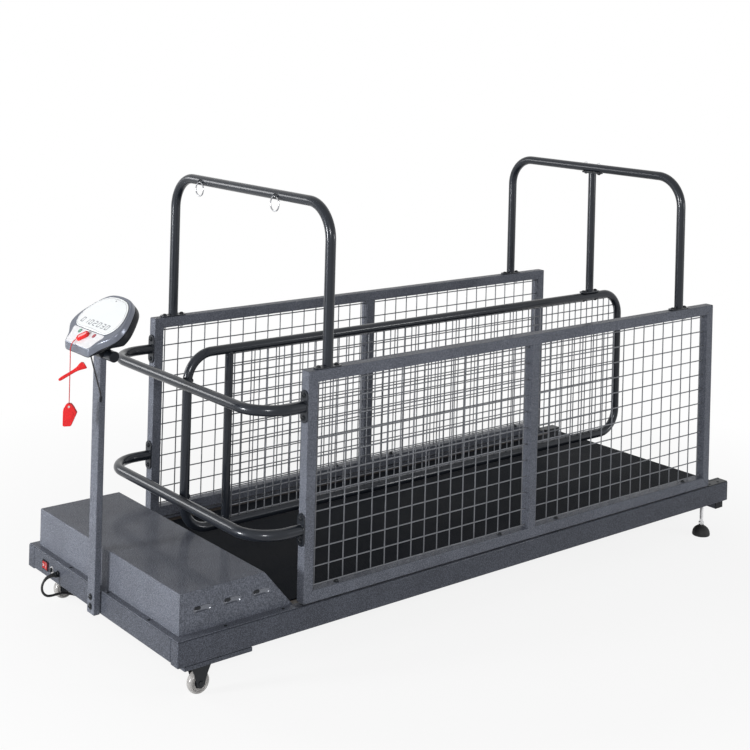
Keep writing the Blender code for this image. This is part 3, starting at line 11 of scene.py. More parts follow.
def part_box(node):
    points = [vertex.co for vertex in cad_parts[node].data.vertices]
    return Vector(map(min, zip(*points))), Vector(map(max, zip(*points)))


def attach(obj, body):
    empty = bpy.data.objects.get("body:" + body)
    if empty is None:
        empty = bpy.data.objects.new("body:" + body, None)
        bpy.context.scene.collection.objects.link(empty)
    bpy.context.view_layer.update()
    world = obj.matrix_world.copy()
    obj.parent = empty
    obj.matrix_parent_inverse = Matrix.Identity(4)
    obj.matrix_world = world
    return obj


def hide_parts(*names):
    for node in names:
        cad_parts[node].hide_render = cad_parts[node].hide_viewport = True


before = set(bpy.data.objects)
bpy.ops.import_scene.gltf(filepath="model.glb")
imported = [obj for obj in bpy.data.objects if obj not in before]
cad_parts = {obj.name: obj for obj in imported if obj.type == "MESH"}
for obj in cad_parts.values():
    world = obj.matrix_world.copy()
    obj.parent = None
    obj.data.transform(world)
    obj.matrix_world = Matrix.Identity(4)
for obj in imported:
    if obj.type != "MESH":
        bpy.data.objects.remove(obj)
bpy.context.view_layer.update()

bl_info = {
    "name": "Dog Treadmill Builder",
    "version": (1, 0, 0),
    "blender": (4, 5, 0),
    "location": "View3D > Sidebar > Dog Treadmill",
    "description": "Builds the steel frame, running deck, console and cords of a two-lane dog treadmill",
    "category": "Add Mesh",
}

# All places are in metres from the front end of the side panels, the centre line and the floor.
ORIGIN_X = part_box("near_panel_frame")[0].x
SIDES = (("near", -1), ("far", 1))
GAP = 0.0003
SHARP_ANGLE = math.radians(38)

# Side panels and their mesh
PANEL_LENGTH = 1.755
PANEL_Y = 0.408
PANEL_LOW = 0.172
PANEL_HIGH = 0.804
PANEL_TUBE = 0.032
PANEL_BOLTS = (0.124, 0.7535, 1.0015, 1.631)
MESH_BAYS = (("front", 0.032), ("rear", 0.8935))
BAY_SPAN = 0.8295
MESH_SPAN = 0.8
MESH_LOW = 0.213
MESH_RISE = 0.55
WIRE_END = 0.002

# Base
RAIL_FRONT = -0.394
RAIL_REAR = 1.86
RAIL_TOP = 0.168
RAIL_UNDER = 0.103
RAIL_IN = 0.391
RAIL_OUT = 0.427
BEAM_LOW = 0.107
BEAM_MIDDLE = 0.1375
BEAM_FACE = -0.394
BEAM_HALF = 0.3907
CAP_TOP = 0.172
CROSS_TUBE = ((1.7975, 0.0817), (1.8375, 0.1027))

# Casters and levelling feet
CASTER_X = -0.301
CASTER_Y = 0.378
WHEEL_RADIUS = 0.031
FORK_CHEEK = 0.015
FOOT_X = 1.739
FOOT_Y = 0.409

# Running deck
TAIL_X = 1.825
DRIVE_X = -0.09
ROLLER_Z = 0.1352
BELT_WIDTH = 0.72
BELT_RADII = (0.0298, 0.0273)

# Beam controls
SWITCH_Y = 0.315
BREAKER_Y = 0.272
GLAND_Y = 0.234

# Motor cover
COVER_SHEET = 0.0025
COVER_TOP = 0.278
COVER_HALF = 0.396
COVER_X = (-0.374, -0.111, -0.014)
COVER_FOLD = 0.004
COVER_LIP = 0.019
COVER_SCREWS = ((-0.3835, 0.179), (-0.3835, -0.262), (-0.3835, -0.04), (-0.056, -0.4095), (-0.24, -0.4095),
                (-0.056, 0.4095), (-0.24, 0.4095))
VENT = (0.056, 0.0175)
VENT_PLACES = (-0.305, -0.213, -0.121)
VENT_Z = 0.228

# Tubes
TUBE = 0.015
BEND = 0.1
U_REACH = -0.15
U_HEIGHTS = (("upper", 0.707), ("lower", 0.372))
HOOP_TOP = 1.251
FRONT_HOOP = 0.074
REAR_HOOP = 1.585
EYE_X = 0.0555
EYES = (("near", -0.163), ("far", 0.24))
EYE_Z = 1.2478
RING = (0.021, 0.002)
FLANGE = (0.09, 0.032, 0.004)
FLANGE_BOLT = 0.031
DIVIDER_TUBE = 0.014
DIVIDER_FRONT = -0.1207
DIVIDER_REAR = 1.741
DIVIDER_LOW = 0.271
DIVIDER_HIGH = 0.783
DIVIDER_UPRIGHT = 0.022
DIVIDER_BEND = 0.08
UPRIGHT_TUBE = 0.0125
DIVIDER_MESH = ((0.0345, 1.727), (0.285, 0.769))

# Console
POST_X = -0.4043
POST_HALF = (0.01, 0.02)
POST_FOOT = 0.106
T_BAR_Z = 0.828
T_BAR = (0.0149, 0.08)
CONSOLE_TILT = math.radians(50)
CONSOLE_OFFSET = 0.075
CONSOLE_SIDE = -0.012
FACE_DEPTH = 0.018
BACK_DEPTH = 0.027
CHIN_LOW = -0.044
FLARE_LOW = -0.055
SHIELD_CENTRE = 0.05
SHIELD_BROW = ((0.126, 0.028), (0.12096, 0.0581), (0.097, 0.098), (0.0737, 0.1234), (0.046, 0.1368), (0.0, 0.141))
DISPLAY_EDGE = ((0.0, 0.0125), (0.058, 0.0125), (0.081, 0.0148), (0.096, 0.0255), (0.1055, 0.043), (0.1055, 0.062),
                (0.096, 0.085), (0.078, 0.1075), (0.053, 0.123), (0.025, 0.1295), (0.0, 0.1305))
KEYPAD_EDGE = ((0.0, -0.0405), (0.054, -0.0405), (0.0635, -0.0375), (0.069, -0.029), (0.0745, -0.012),
               (0.083, 0.0015), (0.0835, 0.0085), (0.077, 0.0098), (0.05, 0.0096), (0.0, 0.0096))
DIGITS = "0102030"
SEGMENTS = {"0": "abcdef", "1": "bc", "2": "abged", "3": "abgcd"}
STROKES = {"a": ((0, 2), (1, 2)), "b": ((1, 2), (1, 1)), "c": ((1, 1), (1, 0)), "d": ((1, 0), (0, 0)),
           "e": ((0, 0), (0, 1)), "f": ((0, 1), (0, 2)), "g": ((0, 1), (1, 1))}

# Safety key and its lanyard
LANYARD = 0.00125
KEY_PLACE = (0, -0.013)
KEY_TURN = math.radians(-45)
KEY_SIZE = (0.04, 0.02)
LANYARD_LIFT = 0.0045
LANYARD_DROP = 0.068
TOGGLE_TURN = math.radians(-39)
TOGGLE_LEAN = math.radians(-32)
TOGGLE_MIDDLE = 0.0045
CLIP_DROP = 0.085
CLIP_SIZE = (0.0195, 0.063)

# Console cable
CABLE = 0.002
CABLE_SIDE = 0.02
CABLE_CENTRE = 0.141 * 0.36
CABLE_SCALE = 0.98

# Mains cord
CORD = 0.0035
CORD_TURN = 0.029
COIL_TURNS = 3
COIL_STEPS = 24
COIL_CENTRE = Vector((-0.204, 0.29, CORD))
COIL_INNER = 0.0303
COIL_STEP = 0.0078
COIL_RISE = 0.0077
COIL_TAIL = 0.05
GLAND_MOUTH = Vector((-0.4083, GLAND_Y, BEAM_MIDDLE))
RELIEF_LENGTH = 0.032
RELIEF_RIB = 0.0022

# Studio
CAMERA_PLACE = (-2.98606, -3.48772, 1.73887)
CAMERA_YAW = math.radians(39.276)
CAMERA_ROLL = math.radians(1.5)
CAMERA_LENS = 67.83
CAMERA_SHIFT = (-0.0031, -0.4621)
LAMP_TARGET = Vector((0, 0, 0.6))
LAMPS = (("key", (-4.0, -4.8, 2.6), 1.0), ("front", (-6.0, 1.2, 1.0), 1.0), ("fill", (3.5, -4.5, 1.2), 1.0),
         ("rear", (-3.3, 4.15, 1.95), 1.4))
FLOOR_REACH = 60.0

UP = Vector((0, 0, 1))
DOWN = -UP


# Sizes and colours a user would change

def length(name, description, default):
    """A length in metres."""
    return FloatProperty(name=name, description=description, default=default, min=0.0001, unit="LENGTH",
                         subtype="DISTANCE", precision=4)


def colour(name, description, default):
    """A linear colour."""
    return FloatVectorProperty(name=name, description=description, default=default, min=0, max=1,
                               subtype="COLOR", size=3)


def power(name, description, default):
    """A lamp's power in watts."""
    return FloatProperty(name=name, description=description, default=default, min=0, unit="POWER")


class TreadmillSizes(bpy.types.PropertyGroup):
    """Small sizes of the finished pieces."""

    wire: length("Mesh wire", "Diameter of the welded mesh wires", 0.0038)
    side_pitch: length("Side mesh pitch", "Spacing of the wires in the side panels", 0.05)
    divider_pitch: length("Divider mesh pitch", "Spacing of the wires in the lane divider", 0.03)
    rail_corner: length("Rail corner", "Corner radius of the base rails", 0.003)
    panel_corner: length("Panel tube corner", "Corner radius of the square panel tubes", 0.0024)
    weld: length("Weld bead", "Radius of the weld beads", 0.0016)
    hammer_grain: length("Hammertone grain", "Width of one dimple in the hammertone paint", 0.0029)
    belt_pitch: length("Belt diamond", "Width of one diamond in the belt's surface", 0.006)


class TreadmillColours(bpy.types.PropertyGroup):
    """Colours of the paints, plastics and rubbers."""

    hammertone: colour("Hammertone paint", "Paint of the panels, post and motor cover", (0.108, 0.117, 0.142))
    base: colour("Base paint", "Paint of the rails, the front beam and the caster plates", (0.062, 0.068, 0.085))
    tube: colour("Tube paint", "Satin metallic paint of the round tubes", (0.014, 0.017, 0.023))
    black: colour("Black paint", "Paint of the forks, caps and bolts", (0.009, 0.011, 0.014))
    wire: colour("Mesh coating", "Coating of the mesh wires", (0.125, 0.131, 0.145))
    silver: colour("Console silver", "Moulded shell of the console", (0.15, 0.163, 0.2))
    display: colour("Display white", "Face of the display", (0.7, 0.72, 0.73))
    red: colour("Safety red", "Safety key, toggle, clip and rocker", (0.56, 0.014, 0.016))
    green: colour("Start green", "Mark on the start key", (0.12, 0.5, 0.22))
    belt: colour("Belt", "Running belt", (0.006, 0.0075, 0.0105))
    wheel: colour("Wheel", "Clear tyres of the casters", (0.42, 0.41, 0.4))


class TreadmillStudio(bpy.types.PropertyGroup):
    """Floor and light of the stage."""

    floor: colour("Floor", "Pale studio floor", (0.9, 0.9, 0.9))
    key: power("Key light", "Power of the light over the near front corner", 160)
    front: power("Front light", "Power of the low light that faces the motor end", 290)
    fill: power("Fill light", "Power of the low light at the near rear corner", 60)
    rear: power("Rear light", "Power of the light that draws highlights along the tubes", 55)
    sky: FloatProperty(name="Room light", description="Strength of the even light of the room", default=0.24,
                       min=0, max=1)


def settings(context):
    """The sizes and colours of this scene."""
    return context.scene.treadmill_sizes, context.scene.treadmill_colours


# Materials

class Field:
    """A value that varies over a surface. Arithmetic on it adds Math nodes."""

    def __init__(self, graph, socket):
        self.graph = graph
        self.socket = socket

    def maths(self, operation, first, second):
        return self.graph.node("ShaderNodeMath", {"operation": operation}, {0: first, 1: second})

    def __add__(self, other):
        return self.maths("ADD", self, other)

    def __mul__(self, other):
        return self.maths("MULTIPLY", self, other)

    def __sub__(self, other):
        return self.maths("SUBTRACT", self, other)

    def __rsub__(self, other):
        return self.maths("SUBTRACT", other, self)

    __radd__ = __add__
    __rmul__ = __mul__

    def sine(self):
        return self.maths("SINE", self, 0)

    def at_most(self, other):
        return self.maths("MINIMUM", self, other)

    def at_least(self, other):
        return self.maths("MAXIMUM", self, other)


class Graph:
    """The node tree of a material or of the world."""

    def __init__(self, tree):
        self.tree = tree

    def node(self, kind, options=None, values=None, output=0):
        """Adds a node: its options first, then its socket values or links. Gives one output."""
        node = self.tree.nodes.new(kind)
        for key, value in (options or {}).items():
            setattr(node, key, value)
        for key, value in (values or {}).items():
            self.feed(node.inputs[key], value)
        return Field(self, node.outputs[output])

    def feed(self, socket, value):
        """Links a field to a socket, or sets the socket to a plain value."""
        if isinstance(value, Field):
            self.tree.links.new(value.socket, socket)
        else:
            socket.default_value = value

    def seen(self):
        """1 for the rays that see the background plainly, in glass and in shiny metal too."""
        outputs = self.node("ShaderNodeLightPath").socket.node.outputs
        camera, glossy, through = (Field(self, outputs[key]) for key in
                                   ("Is Camera Ray", "Is Glossy Ray", "Is Transmission Ray"))
        return camera.at_least(glossy).at_least(through)


class Surface(Graph):
    """One material: a Principled shader with plain values, and the fields that vary over it."""

    def __init__(self, name, base, roughness, metallic=0.0, **sockets):
        self.material = bpy.data.materials.new(name)
        self.material.use_nodes = True
        super().__init__(self.material.node_tree)
        self.shader = self.tree.nodes["Principled BSDF"]
        plain = {"Base Color": (*base, 1), "Roughness": roughness, "Metallic": metallic}
        plain.update({key.replace("_", " "): value for key, value in sockets.items()})
        for key, value in plain.items():
            self.shader.inputs[key].default_value = value
        self.material.diffuse_color = (*base, 1)

    def spot(self):
        return self.node("ShaderNodeTexCoord", output="Object")

    def axes(self):
        outputs = self.node("ShaderNodeSeparateXYZ", values={0: self.spot()}).socket.node.outputs
        return [Field(self, output) for output in outputs]

    def noise(self, scale, detail=2.0):
        return self.node("ShaderNodeTexNoise", {}, {"Vector": self.spot(), "Scale": scale, "Detail": detail})

    def cells(self, scale):
        return self.node("ShaderNodeTexVoronoi", {"feature": "SMOOTH_F1"},
                         {"Vector": self.spot(), "Scale": scale, "Smoothness": 0.6})

    def blend(self, mask, first, second):
        """One colour where the mask is 0 and the other where it is 1."""
        mixed = self.node("ShaderNodeMix", {"data_type": "RGBA"}, {0: mask}, output=2)
        for socket, value in ((6, first), (7, second)):
            value = value if isinstance(value, Field) else (*value, 1)
            self.feed(mixed.socket.node.inputs[socket], value)
        return mixed

    def colour(self, value):
        self.feed(self.shader.inputs["Base Color"], value)

    def roughness(self, value):
        self.feed(self.shader.inputs["Roughness"], value)

    def bump(self, height, depth, strength=1.0):
        normal = self.node("ShaderNodeBump", {}, {"Height": height, "Distance": depth, "Strength": strength})
        self.feed(self.shader.inputs["Normal"], normal)

    def mottle(self, base, scale, spread, detail=2.0):
        """The base colour, a little lighter and darker from place to place."""
        self.colour(self.blend(self.noise(scale, detail), shade(base, 1 - spread), shade(base, 1 + spread)))


def shade(base, share):
    """A colour made darker or lighter by a share."""
    return tuple(min(1.0, c * share) for c in base)


def plain_finish(name, base, roughness, mottle, grain=None, metallic=0.0, **sockets):
    """A paint, a print or a plastic: a mottled colour and, where it has one, a fine grain."""
    surface = Surface(name, base, roughness, metallic, **sockets)
    surface.mottle(base, *mottle)
    if grain:
        scale, depth, strength = grain
        surface.bump(surface.noise(scale), depth, strength)
    return surface


def fleck_enamel(name, base, sizes):
    """Hammertone enamel: shallow dimples with a lighter fleck."""
    paint = Surface(name, base, 0.4, 0.0, Specular_IOR_Level=0.05, Coat_Weight=0.16, Coat_Roughness=0.12)
    grain = 1 / sizes.hammer_grain
    dimple = paint.cells(grain)
    fleck = paint.noise(grain, 2.0)
    cloud = paint.noise(9.0, 3.0)
    mask = (fleck * 4.2 + cloud * 0.8 - 2.1).at_most(1.0).at_least(0.0)
    paint.colour(paint.blend(mask, shade(base, 0.7), shade(base, 1.44)))
    paint.roughness(0.46 - mask * 0.14)
    paint.bump(dimple + mask * 0.4, 0.0013, 0.9)
    return paint


def hammertone(sizes, tints):
    """Grey hammertone enamel of the cover, the panels and the post."""
    return fleck_enamel("hammertone_paint", tuple(tints.hammertone), sizes)


def base_enamel(sizes, tints):
    """Darker hammertone enamel of the base frame."""
    return fleck_enamel("dark_hammertone_paint", tuple(tints.base), sizes)


def dish_enamel(sizes, tints):
    """Glossy enamel pooled in the pressed vents."""
    return plain_finish("glossy_grey_enamel", tuple(tints.hammertone), 0.2, (300.0, 0.3), (500.0, 0.0002, 0.6), 0.3,
                        Coat_Weight=0.6, Coat_Roughness=0.12)


def tube_paint(sizes, tints):
    """Smooth satin metallic paint of the round tubes."""
    paint = plain_finish("tube_paint", tuple(tints.tube), 0.32, (14.0, 0.12), (420.0, 0.00006, 0.6), 0.25,
                         Specular_IOR_Level=0.12, Coat_Weight=0.4, Coat_Roughness=0.14)
    paint.roughness(0.28 + paint.noise(30.0) * 0.08)
    return paint


def black_paint(sizes, tints):
    """Black powder coat with a fine orange peel."""
    return plain_finish("black_powder_coat", tuple(tints.black), 0.4, (26.0, 0.3), (700.0, 0.0001, 0.6),
                        Specular_IOR_Level=0.25)


def wire_coating(sizes, tints):
    """Grey coating on the mesh wires."""
    return plain_finish("wire_coating", tuple(tints.wire), 0.42, (60.0, 0.25, 3.0), (900.0, 0.00005, 0.5), 0.5)


def zinc(sizes, tints):
    """Bright zinc plating of the nuts, studs and shafts."""
    plate = plain_finish("zinc_plating", (0.6, 0.6, 0.61), 0.28, (180.0, 0.14), metallic=1.0)
    plate.roughness(0.22 + plate.noise(240.0) * 0.16)
    return plate


def nickel(sizes, tints):
    """Nickel plating of the tie rings."""
    plate = Surface("nickel_plating", (0.42, 0.43, 0.45), 0.14, 1.0)
    plate.roughness(0.08 + plate.noise(160.0) * 0.12)
    return plate


def belt_rubber(sizes, tints):
    """PVC running belt with a pressed diamond pattern."""
    base = tuple(tints.belt)
    belt = Surface("running_belt_pvc", base, 0.55, Specular_IOR_Level=0.02)
    x, y, _ = belt.axes()
    turn = 2 * math.pi / sizes.belt_pitch
    first = ((x + y) * turn).sine()
    second = ((x - y) * turn).sine()
    ridge = first.at_least(second)
    belt.bump(ridge + belt.noise(900.0) * 0.4, 0.00035, 0.7)
    wear = belt.noise(7.0, 4.0)
    belt.colour(belt.blend(wear, shade(base, 0.8), shade(base, 1.35)))
    belt.roughness(0.44 + wear * 0.2)
    return belt


def rubber(sizes, tints):
    """Black moulded rubber."""
    return plain_finish("black_rubber", (0.014, 0.014, 0.015), 0.62, (40.0, 0.3), (1200.0, 0.00008, 0.6),
                        Specular_IOR_Level=0.3)


def board(sizes, tints):
    """Resin-faced deck board with its pressed layers on the edges."""
    wood = Surface("deck_board_resin", (0.03, 0.026, 0.022), 0.5)
    layer = (wood.axes()[2] * 2600.0).sine() * 0.5 + 0.5
    wood.colour(wood.blend(layer * wood.noise(60.0), (0.018, 0.015, 0.013), (0.07, 0.052, 0.036)))
    wood.bump(wood.noise(300.0), 0.0001, 0.4)
    return wood


def clear_tyre(sizes, tints):
    """Clear polyurethane of the caster wheels."""
    tyre = plain_finish("clear_polyurethane", tuple(tints.wheel), 0.22, (50.0, 0.1), Transmission_Weight=0.35,
                        IOR=1.48)
    tyre.roughness(0.18 + tyre.noise(120.0) * 0.14)
    return tyre


def enamel(sizes, tints):
    """Grey machine enamel of the motor."""
    return plain_finish("motor_enamel", (0.16, 0.17, 0.175), 0.45, (30.0, 0.2), (500.0, 0.00012, 0.5), 0.2)


def silver_shell(sizes, tints):
    """Satin silver ABS of the console shell."""
    return plain_finish("satin_silver_abs", tuple(tints.silver), 0.28, (18.0, 0.05), (1500.0, 0.00004, 0.4), 0.6)


def display_white(sizes, tints):
    """White lens of the display."""
    lens = plain_finish("white_display_lens", tuple(tints.display), 0.22, (12.0, 0.02), Specular_IOR_Level=0.3,
                        Coat_Weight=0.15, Coat_Roughness=0.08)
    lens.roughness(0.2 + lens.noise(35.0) * 0.06)
    return lens


def keypad_overlay(sizes, tints):
    """Printed white film over the keys."""
    return plain_finish("white_keypad_film", (0.64, 0.64, 0.66), 0.35, (15.0, 0.03), (1800.0, 0.00003, 0.3))


def display_ink(sizes, tints):
    """Grey liquid-crystal segments."""
    return plain_finish("grey_display_segments", (0.1, 0.11, 0.13), 0.35, (200.0, 0.15))


def dark_trim(sizes, tints):
    """Dark grey lines round the display."""
    return plain_finish("dark_trim_line", (0.07, 0.075, 0.085), 0.4, (120.0, 0.2))


def painted_key_highlight(sizes, tints):
    """Pale red oval painted on the safety key as its highlight."""
    return plain_finish("pale_red_print", (0.85, 0.34, 0.34), 0.35, (90.0, 0.1))


def red_plastic(sizes, tints):
    """Glossy red moulded plastic."""
    return plain_finish("safety_red_plastic", tuple(tints.red), 0.3, (45.0, 0.12), (800.0, 0.00005, 0.5),
                        Specular_IOR_Level=0.2, Coat_Weight=0.12, Coat_Roughness=0.1)


def rocker_red(sizes, tints):
    """Darker red of the mains rocker."""
    return plain_finish("rocker_red_plastic", shade(tints.red, 0.5), 0.3, (45.0, 0.12), (800.0, 0.00004, 0.4),
                        Specular_IOR_Level=0.3)


def red_braid(sizes, tints):
    """Braided red nylon cord."""
    base = tuple(tints.red)
    braid = Surface("red_nylon_braid", base, 0.55, Specular_IOR_Level=0.2)
    x, y, z = braid.axes()
    first = ((z + x + y) * 4200.0).sine()
    second = ((z - x - y) * 4200.0).sine()
    weave = first.at_least(second)
    braid.colour(braid.blend(weave * 0.5 + 0.5, shade(base, 0.55), shade(base, 1.1)))
    braid.bump(weave, 0.0002, 0.8)
    return braid


def green_mark(sizes, tints):
    """Green printed mark."""
    return plain_finish("start_green_ink", tuple(tints.green), 0.4, (200.0, 0.08))


def black_plastic(sizes, tints):
    """Black textured ABS."""
    return plain_finish("black_abs", (0.009, 0.0105, 0.0135), 0.38, (20.0, 0.2), (1100.0, 0.00006, 0.5),
                        Specular_IOR_Level=0.12)


FINISHES = {
    "hammertone": hammertone, "base": base_enamel, "dish": dish_enamel, "tube": tube_paint, "black": black_paint,
    "wire": wire_coating, "zinc": zinc, "nickel": nickel, "belt": belt_rubber, "rubber": rubber, "board": board,
    "tyre": clear_tyre, "enamel": enamel, "silver": silver_shell, "display": display_white,
    "overlay": keypad_overlay, "ink": display_ink, "trim": dark_trim, "red": red_plastic, "rocker": rocker_red,
    "key_highlight": painted_key_highlight, "braid": red_braid, "green": green_mark, "black_plastic": black_plastic,
}
MADE = {}


def finish(name):
    """The material of that finish, made the first time that it is asked for."""
    if name not in MADE:
        MADE[name] = FINISHES[name](*settings(bpy.context)).material
    return MADE[name]


# Shapes

def aim(point, direction, turn=0.0):
    """Places something at a point with its own +Z along a direction."""
    facing = UP.rotation_difference(Vector(direction)).to_matrix().to_4x4()
    return Matrix.Translation(point) @ facing @ Matrix.Rotation(turn, 4, "Z")


def wall(y, outward=1):
    """Places a plate drawn in (x, z) upright in the plane at that y, its own +Z turned outward."""
    return Matrix(((1, 0, 0, 0), (0, 0, outward, y), (0, 1, 0, 0), (0, 0, 0, 1)))


def capsule(long, wide, steps=12):
    """A rounded bar's outline along Y."""
    reach = (long - wide) / 2
    points = []
    for end in (1, -1):
        for k in range(steps + 1):
            angle = math.pi * k / steps + (0 if end > 0 else math.pi)
            points.append((wide / 2 * math.cos(angle), end * reach + wide / 2 * math.sin(angle)))
    return points


def rounded_path(corners, radius, steps=20, closed=False):
    """Points along straight runs, with an arc of one radius at each bend."""
    points = []
    for index, corner in enumerate(corners):
        corner = Vector(corner)
        if not closed and index in (0, len(corners) - 1):
            points.append(corner)
            continue
        back = (Vector(corners[index - 1]) - corner).normalized()
        ahead = (Vector(corners[(index + 1) % len(corners)]) - corner).normalized()
        half = back.angle(ahead) / 2
        centre = corner + (back + ahead).normalized() * (radius / math.sin(half))
        start = corner + back * radius / math.tan(half) - centre
        end = corner + ahead * radius / math.tan(half) - centre
        swing = start.angle(end)
        for k in range(steps + 1):
            share = k / steps
            points.append(centre + (start * math.sin((1 - share) * swing) + end * math.sin(share * swing))
                          / math.sin(swing))
    return points


def smooth_run(before, here, there, after, steps):
    """Points from one knot towards the next, on a smooth line that also heeds the knots on either side."""
    for k in range(steps):
        t = k / steps
        yield 0.5 * (2 * here + (there - before) * t + (2 * before - 5 * here + 4 * there - after) * t ** 2
                     + (3 * here - before - 3 * there + after) * t ** 3)


def smooth_route(knots):
    """Points on a smooth line through the knots."""
    fine = []
    for index in range(len(knots) - 1):
        fine += smooth_run(knots[max(index - 1, 0)], knots[index], knots[index + 1],
                           knots[min(index + 2, len(knots) - 1)], 20)
    fine.append(knots[-1])
    return fine


class Shape:
    """One piece in the making: solids gathered together, each in a finish of its own."""

    def __init__(self):
        self.bm = bmesh.new()
        self.finishes = []

    def take(self, part, finish_name, place=None, bevel=0.0, steps=2):
        """Adds a solid, with its sharp edges rounded."""
        bmesh.ops.recalc_face_normals(part, faces=part.faces)
        if bevel:
            edges = [e for e in part.edges if e.is_manifold and e.calc_face_angle() > SHARP_ANGLE]
            bmesh.ops.bevel(part, geom=edges, offset=bevel, segments=steps, profile=0.5, affect="EDGES",
                            clamp_overlap=True)
        if place is not None:
            part.transform(place)
        if finish_name not in self.finishes:
            self.finishes.append(finish_name)
        for face in part.faces:
            face.material_index = self.finishes.index(finish_name)
            face.smooth = True
        mesh = bpy.data.meshes.new("solid")
        part.to_mesh(mesh)
        part.free()
        self.bm.from_mesh(mesh)
        bpy.data.meshes.remove(mesh)

    def box(self, low, high, finish_name, bevel=0.001, steps=2, place=None):
        """A rounded block between two corners."""
        low, high = Vector(low), Vector(high)
        part = bmesh.new()
        bmesh.ops.create_cube(part, size=1, matrix=Matrix.Translation((low + high) / 2)
                              @ Matrix.Diagonal((*(high - low), 1)))
        self.take(part, finish_name, place, bevel, steps)

    def plate(self, outlines, thickness, finish_name, place=None, bevel=0.0006, steps=2):
        """A flat plate in XY: an outer outline, then its holes. Its middle lies at z = 0."""
        part = bmesh.new()
        edges = []
        for outline in outlines:
            loop = [part.verts.new((x, y, -thickness / 2)) for x, y in outline]
            edges += [part.edges.new((a, b)) for a, b in zip(loop, loop[1:] + loop[:1])]
        faces = bmesh.ops.triangle_fill(part, use_beauty=True, use_dissolve=True, edges=edges)["geom"]
        faces = [f for f in faces if isinstance(f, bmesh.types.BMFace)]
        top = bmesh.ops.extrude_face_region(part, geom=faces, use_keep_orig=True)["geom"]
        bmesh.ops.translate(part, vec=(0, 0, thickness), verts=[v for v in top
                                                                if isinstance(v, bmesh.types.BMVert)])
        self.take(part, finish_name, place, bevel, steps)

    def loft(self, loops, finish_name, place=None, closed=False):
        """A skin through loops of points; a loop of one point is a pole."""
        part = bmesh.new()
        rings = [[part.verts.new(p) for p in loop] for loop in loops]
        count = max(len(ring) for ring in rings)
        pairs = list(zip(rings, rings[1:]))
        if closed:
            pairs.append((rings[-1], rings[0]))
        for first, second in pairs:
            for k in range(count):
                after = (k + 1) % count
                corners = [first[k % len(first)], second[k % len(second)],
                           second[after % len(second)], first[after % len(first)]]
                corners = list(dict.fromkeys(corners))
                if len(corners) > 2:
                    part.faces.new(corners)
        if not closed:
            for ring in (rings[0], rings[-1]):
                if len(ring) > 2:
                    part.faces.new(ring)
        self.take(part, finish_name, place)

    def turned(self, profile, finish_name, place, steps=40, closed=False):
        """A turned solid from (radius, height) points."""
        loops = []
        for radius, height in profile:
            if radius < 1e-7:
                loops.append([(0, 0, height)])
            else:
                loops.append([(radius * math.cos(2 * math.pi * k / steps),
                               radius * math.sin(2 * math.pi * k / steps), height) for k in range(steps)])
        self.loft(loops, finish_name, place, closed)

    def tube(self, path, radius, finish_name, sides=24, closed=False):
        """A round bar along a path; the radius may be one number or one for each point."""
        path = [Vector(p) for p in path]
        radii = radius if isinstance(radius, (list, tuple)) else [radius] * len(path)
        count = len(path)
        side = None
        loops = []
        for k, point in enumerate(path):
            before = path[k - 1] if closed or k else point
            after = path[(k + 1) % count] if closed or k < count - 1 else point
            along = (after - before).normalized()
            if side is None:
                side = along.orthogonal().normalized()
            side = (side - along * side.dot(along)).normalized()
            other = along.cross(side)
            loops.append([point + (side * math.cos(2 * math.pi * s / sides)
                                   + other * math.sin(2 * math.pi * s / sides)) * radii[k] for s in range(sides)])
        self.loft(loops, finish_name, closed=closed)

    def ring(self, centre, major, minor, axis, finish_name, steps=48, sides=16):
        """A round ring about an axis."""
        place = aim(centre, axis)
        profile = [(major + minor * math.cos(2 * math.pi * k / sides), minor * math.sin(2 * math.pi * k / sides))
                   for k in range(sides)]
        self.turned(profile, finish_name, place, steps, closed=True)

    def disc(self, radius, low, high, finish_name, place, steps, chamfer=0.0):
        """A flat round or many-sided disc; its upper edge may be chamfered."""
        edge = [(radius - chamfer, high), (radius, high - chamfer)] if chamfer else [(radius, high)]
        self.turned([(0, high), *edge, (radius, low), (0, low)], finish_name, place, steps)

    def bolt(self, point, direction, radius=0.0065, height=0.005, washer=1.35):
        """A button-head bolt with its washer and socket."""
        place = aim(point, direction)
        if washer:
            self.disc(radius * washer, -0.0002, 0.0012, "black", place, 28)
        r, h = radius, height
        self.turned([(0, h * 0.45), (r * 0.36, h * 0.45), (r * 0.42, h), (r * 0.66, h * 0.97),
                     (r * 0.88, h * 0.74), (r * 0.98, h * 0.42), (r, h * 0.15), (r, 0), (0, 0)],
                    "black", place, 28)

    def nut(self, point, direction, radius=0.0065, height=0.005, stud=0.003):
        """A hexagon nut with the end of its stud."""
        place = aim(point, direction)
        self.turned([(0, height), (radius * 0.86, height), (radius, height * 0.82), (radius, height * 0.1),
                     (radius * 0.9, 0), (0, 0)], "zinc", place, 6)
        self.turned([(0, height + stud), (radius * 0.42, height + stud), (radius * 0.48, height + stud * 0.7),
                     (radius * 0.48, 0), (0, 0)], "zinc", place, 16)

    def done(self, name, body, slot, *nodes):
        """Turns the gathered solids into a piece that rides on a body and stands for its CAD nodes."""
        mesh = bpy.data.meshes.new(name)
        self.bm.transform(Matrix.Translation((ORIGIN_X, 0, 0)))
        self.bm.to_mesh(mesh)
        self.bm.free()
        for finish_name in self.finishes:
            mesh.materials.append(finish(finish_name))
        mesh.set_sharp_from_angle(angle=SHARP_ANGLE)
        piece = bpy.data.objects.new(name, mesh)
        bpy.context.scene.collection.objects.link(piece)
        shading = piece.modifiers.new("flat faces stay flat", "WEIGHTED_NORMAL")
        shading.keep_sharp = True
        return place_piece(piece, body, slot, *nodes)


def place_piece(piece, body, slot, *nodes):
    """Lets a piece ride on its body and hides the CAD nodes that it stands for."""
    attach(piece, body)
    if nodes:
        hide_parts(*nodes)
    return piece


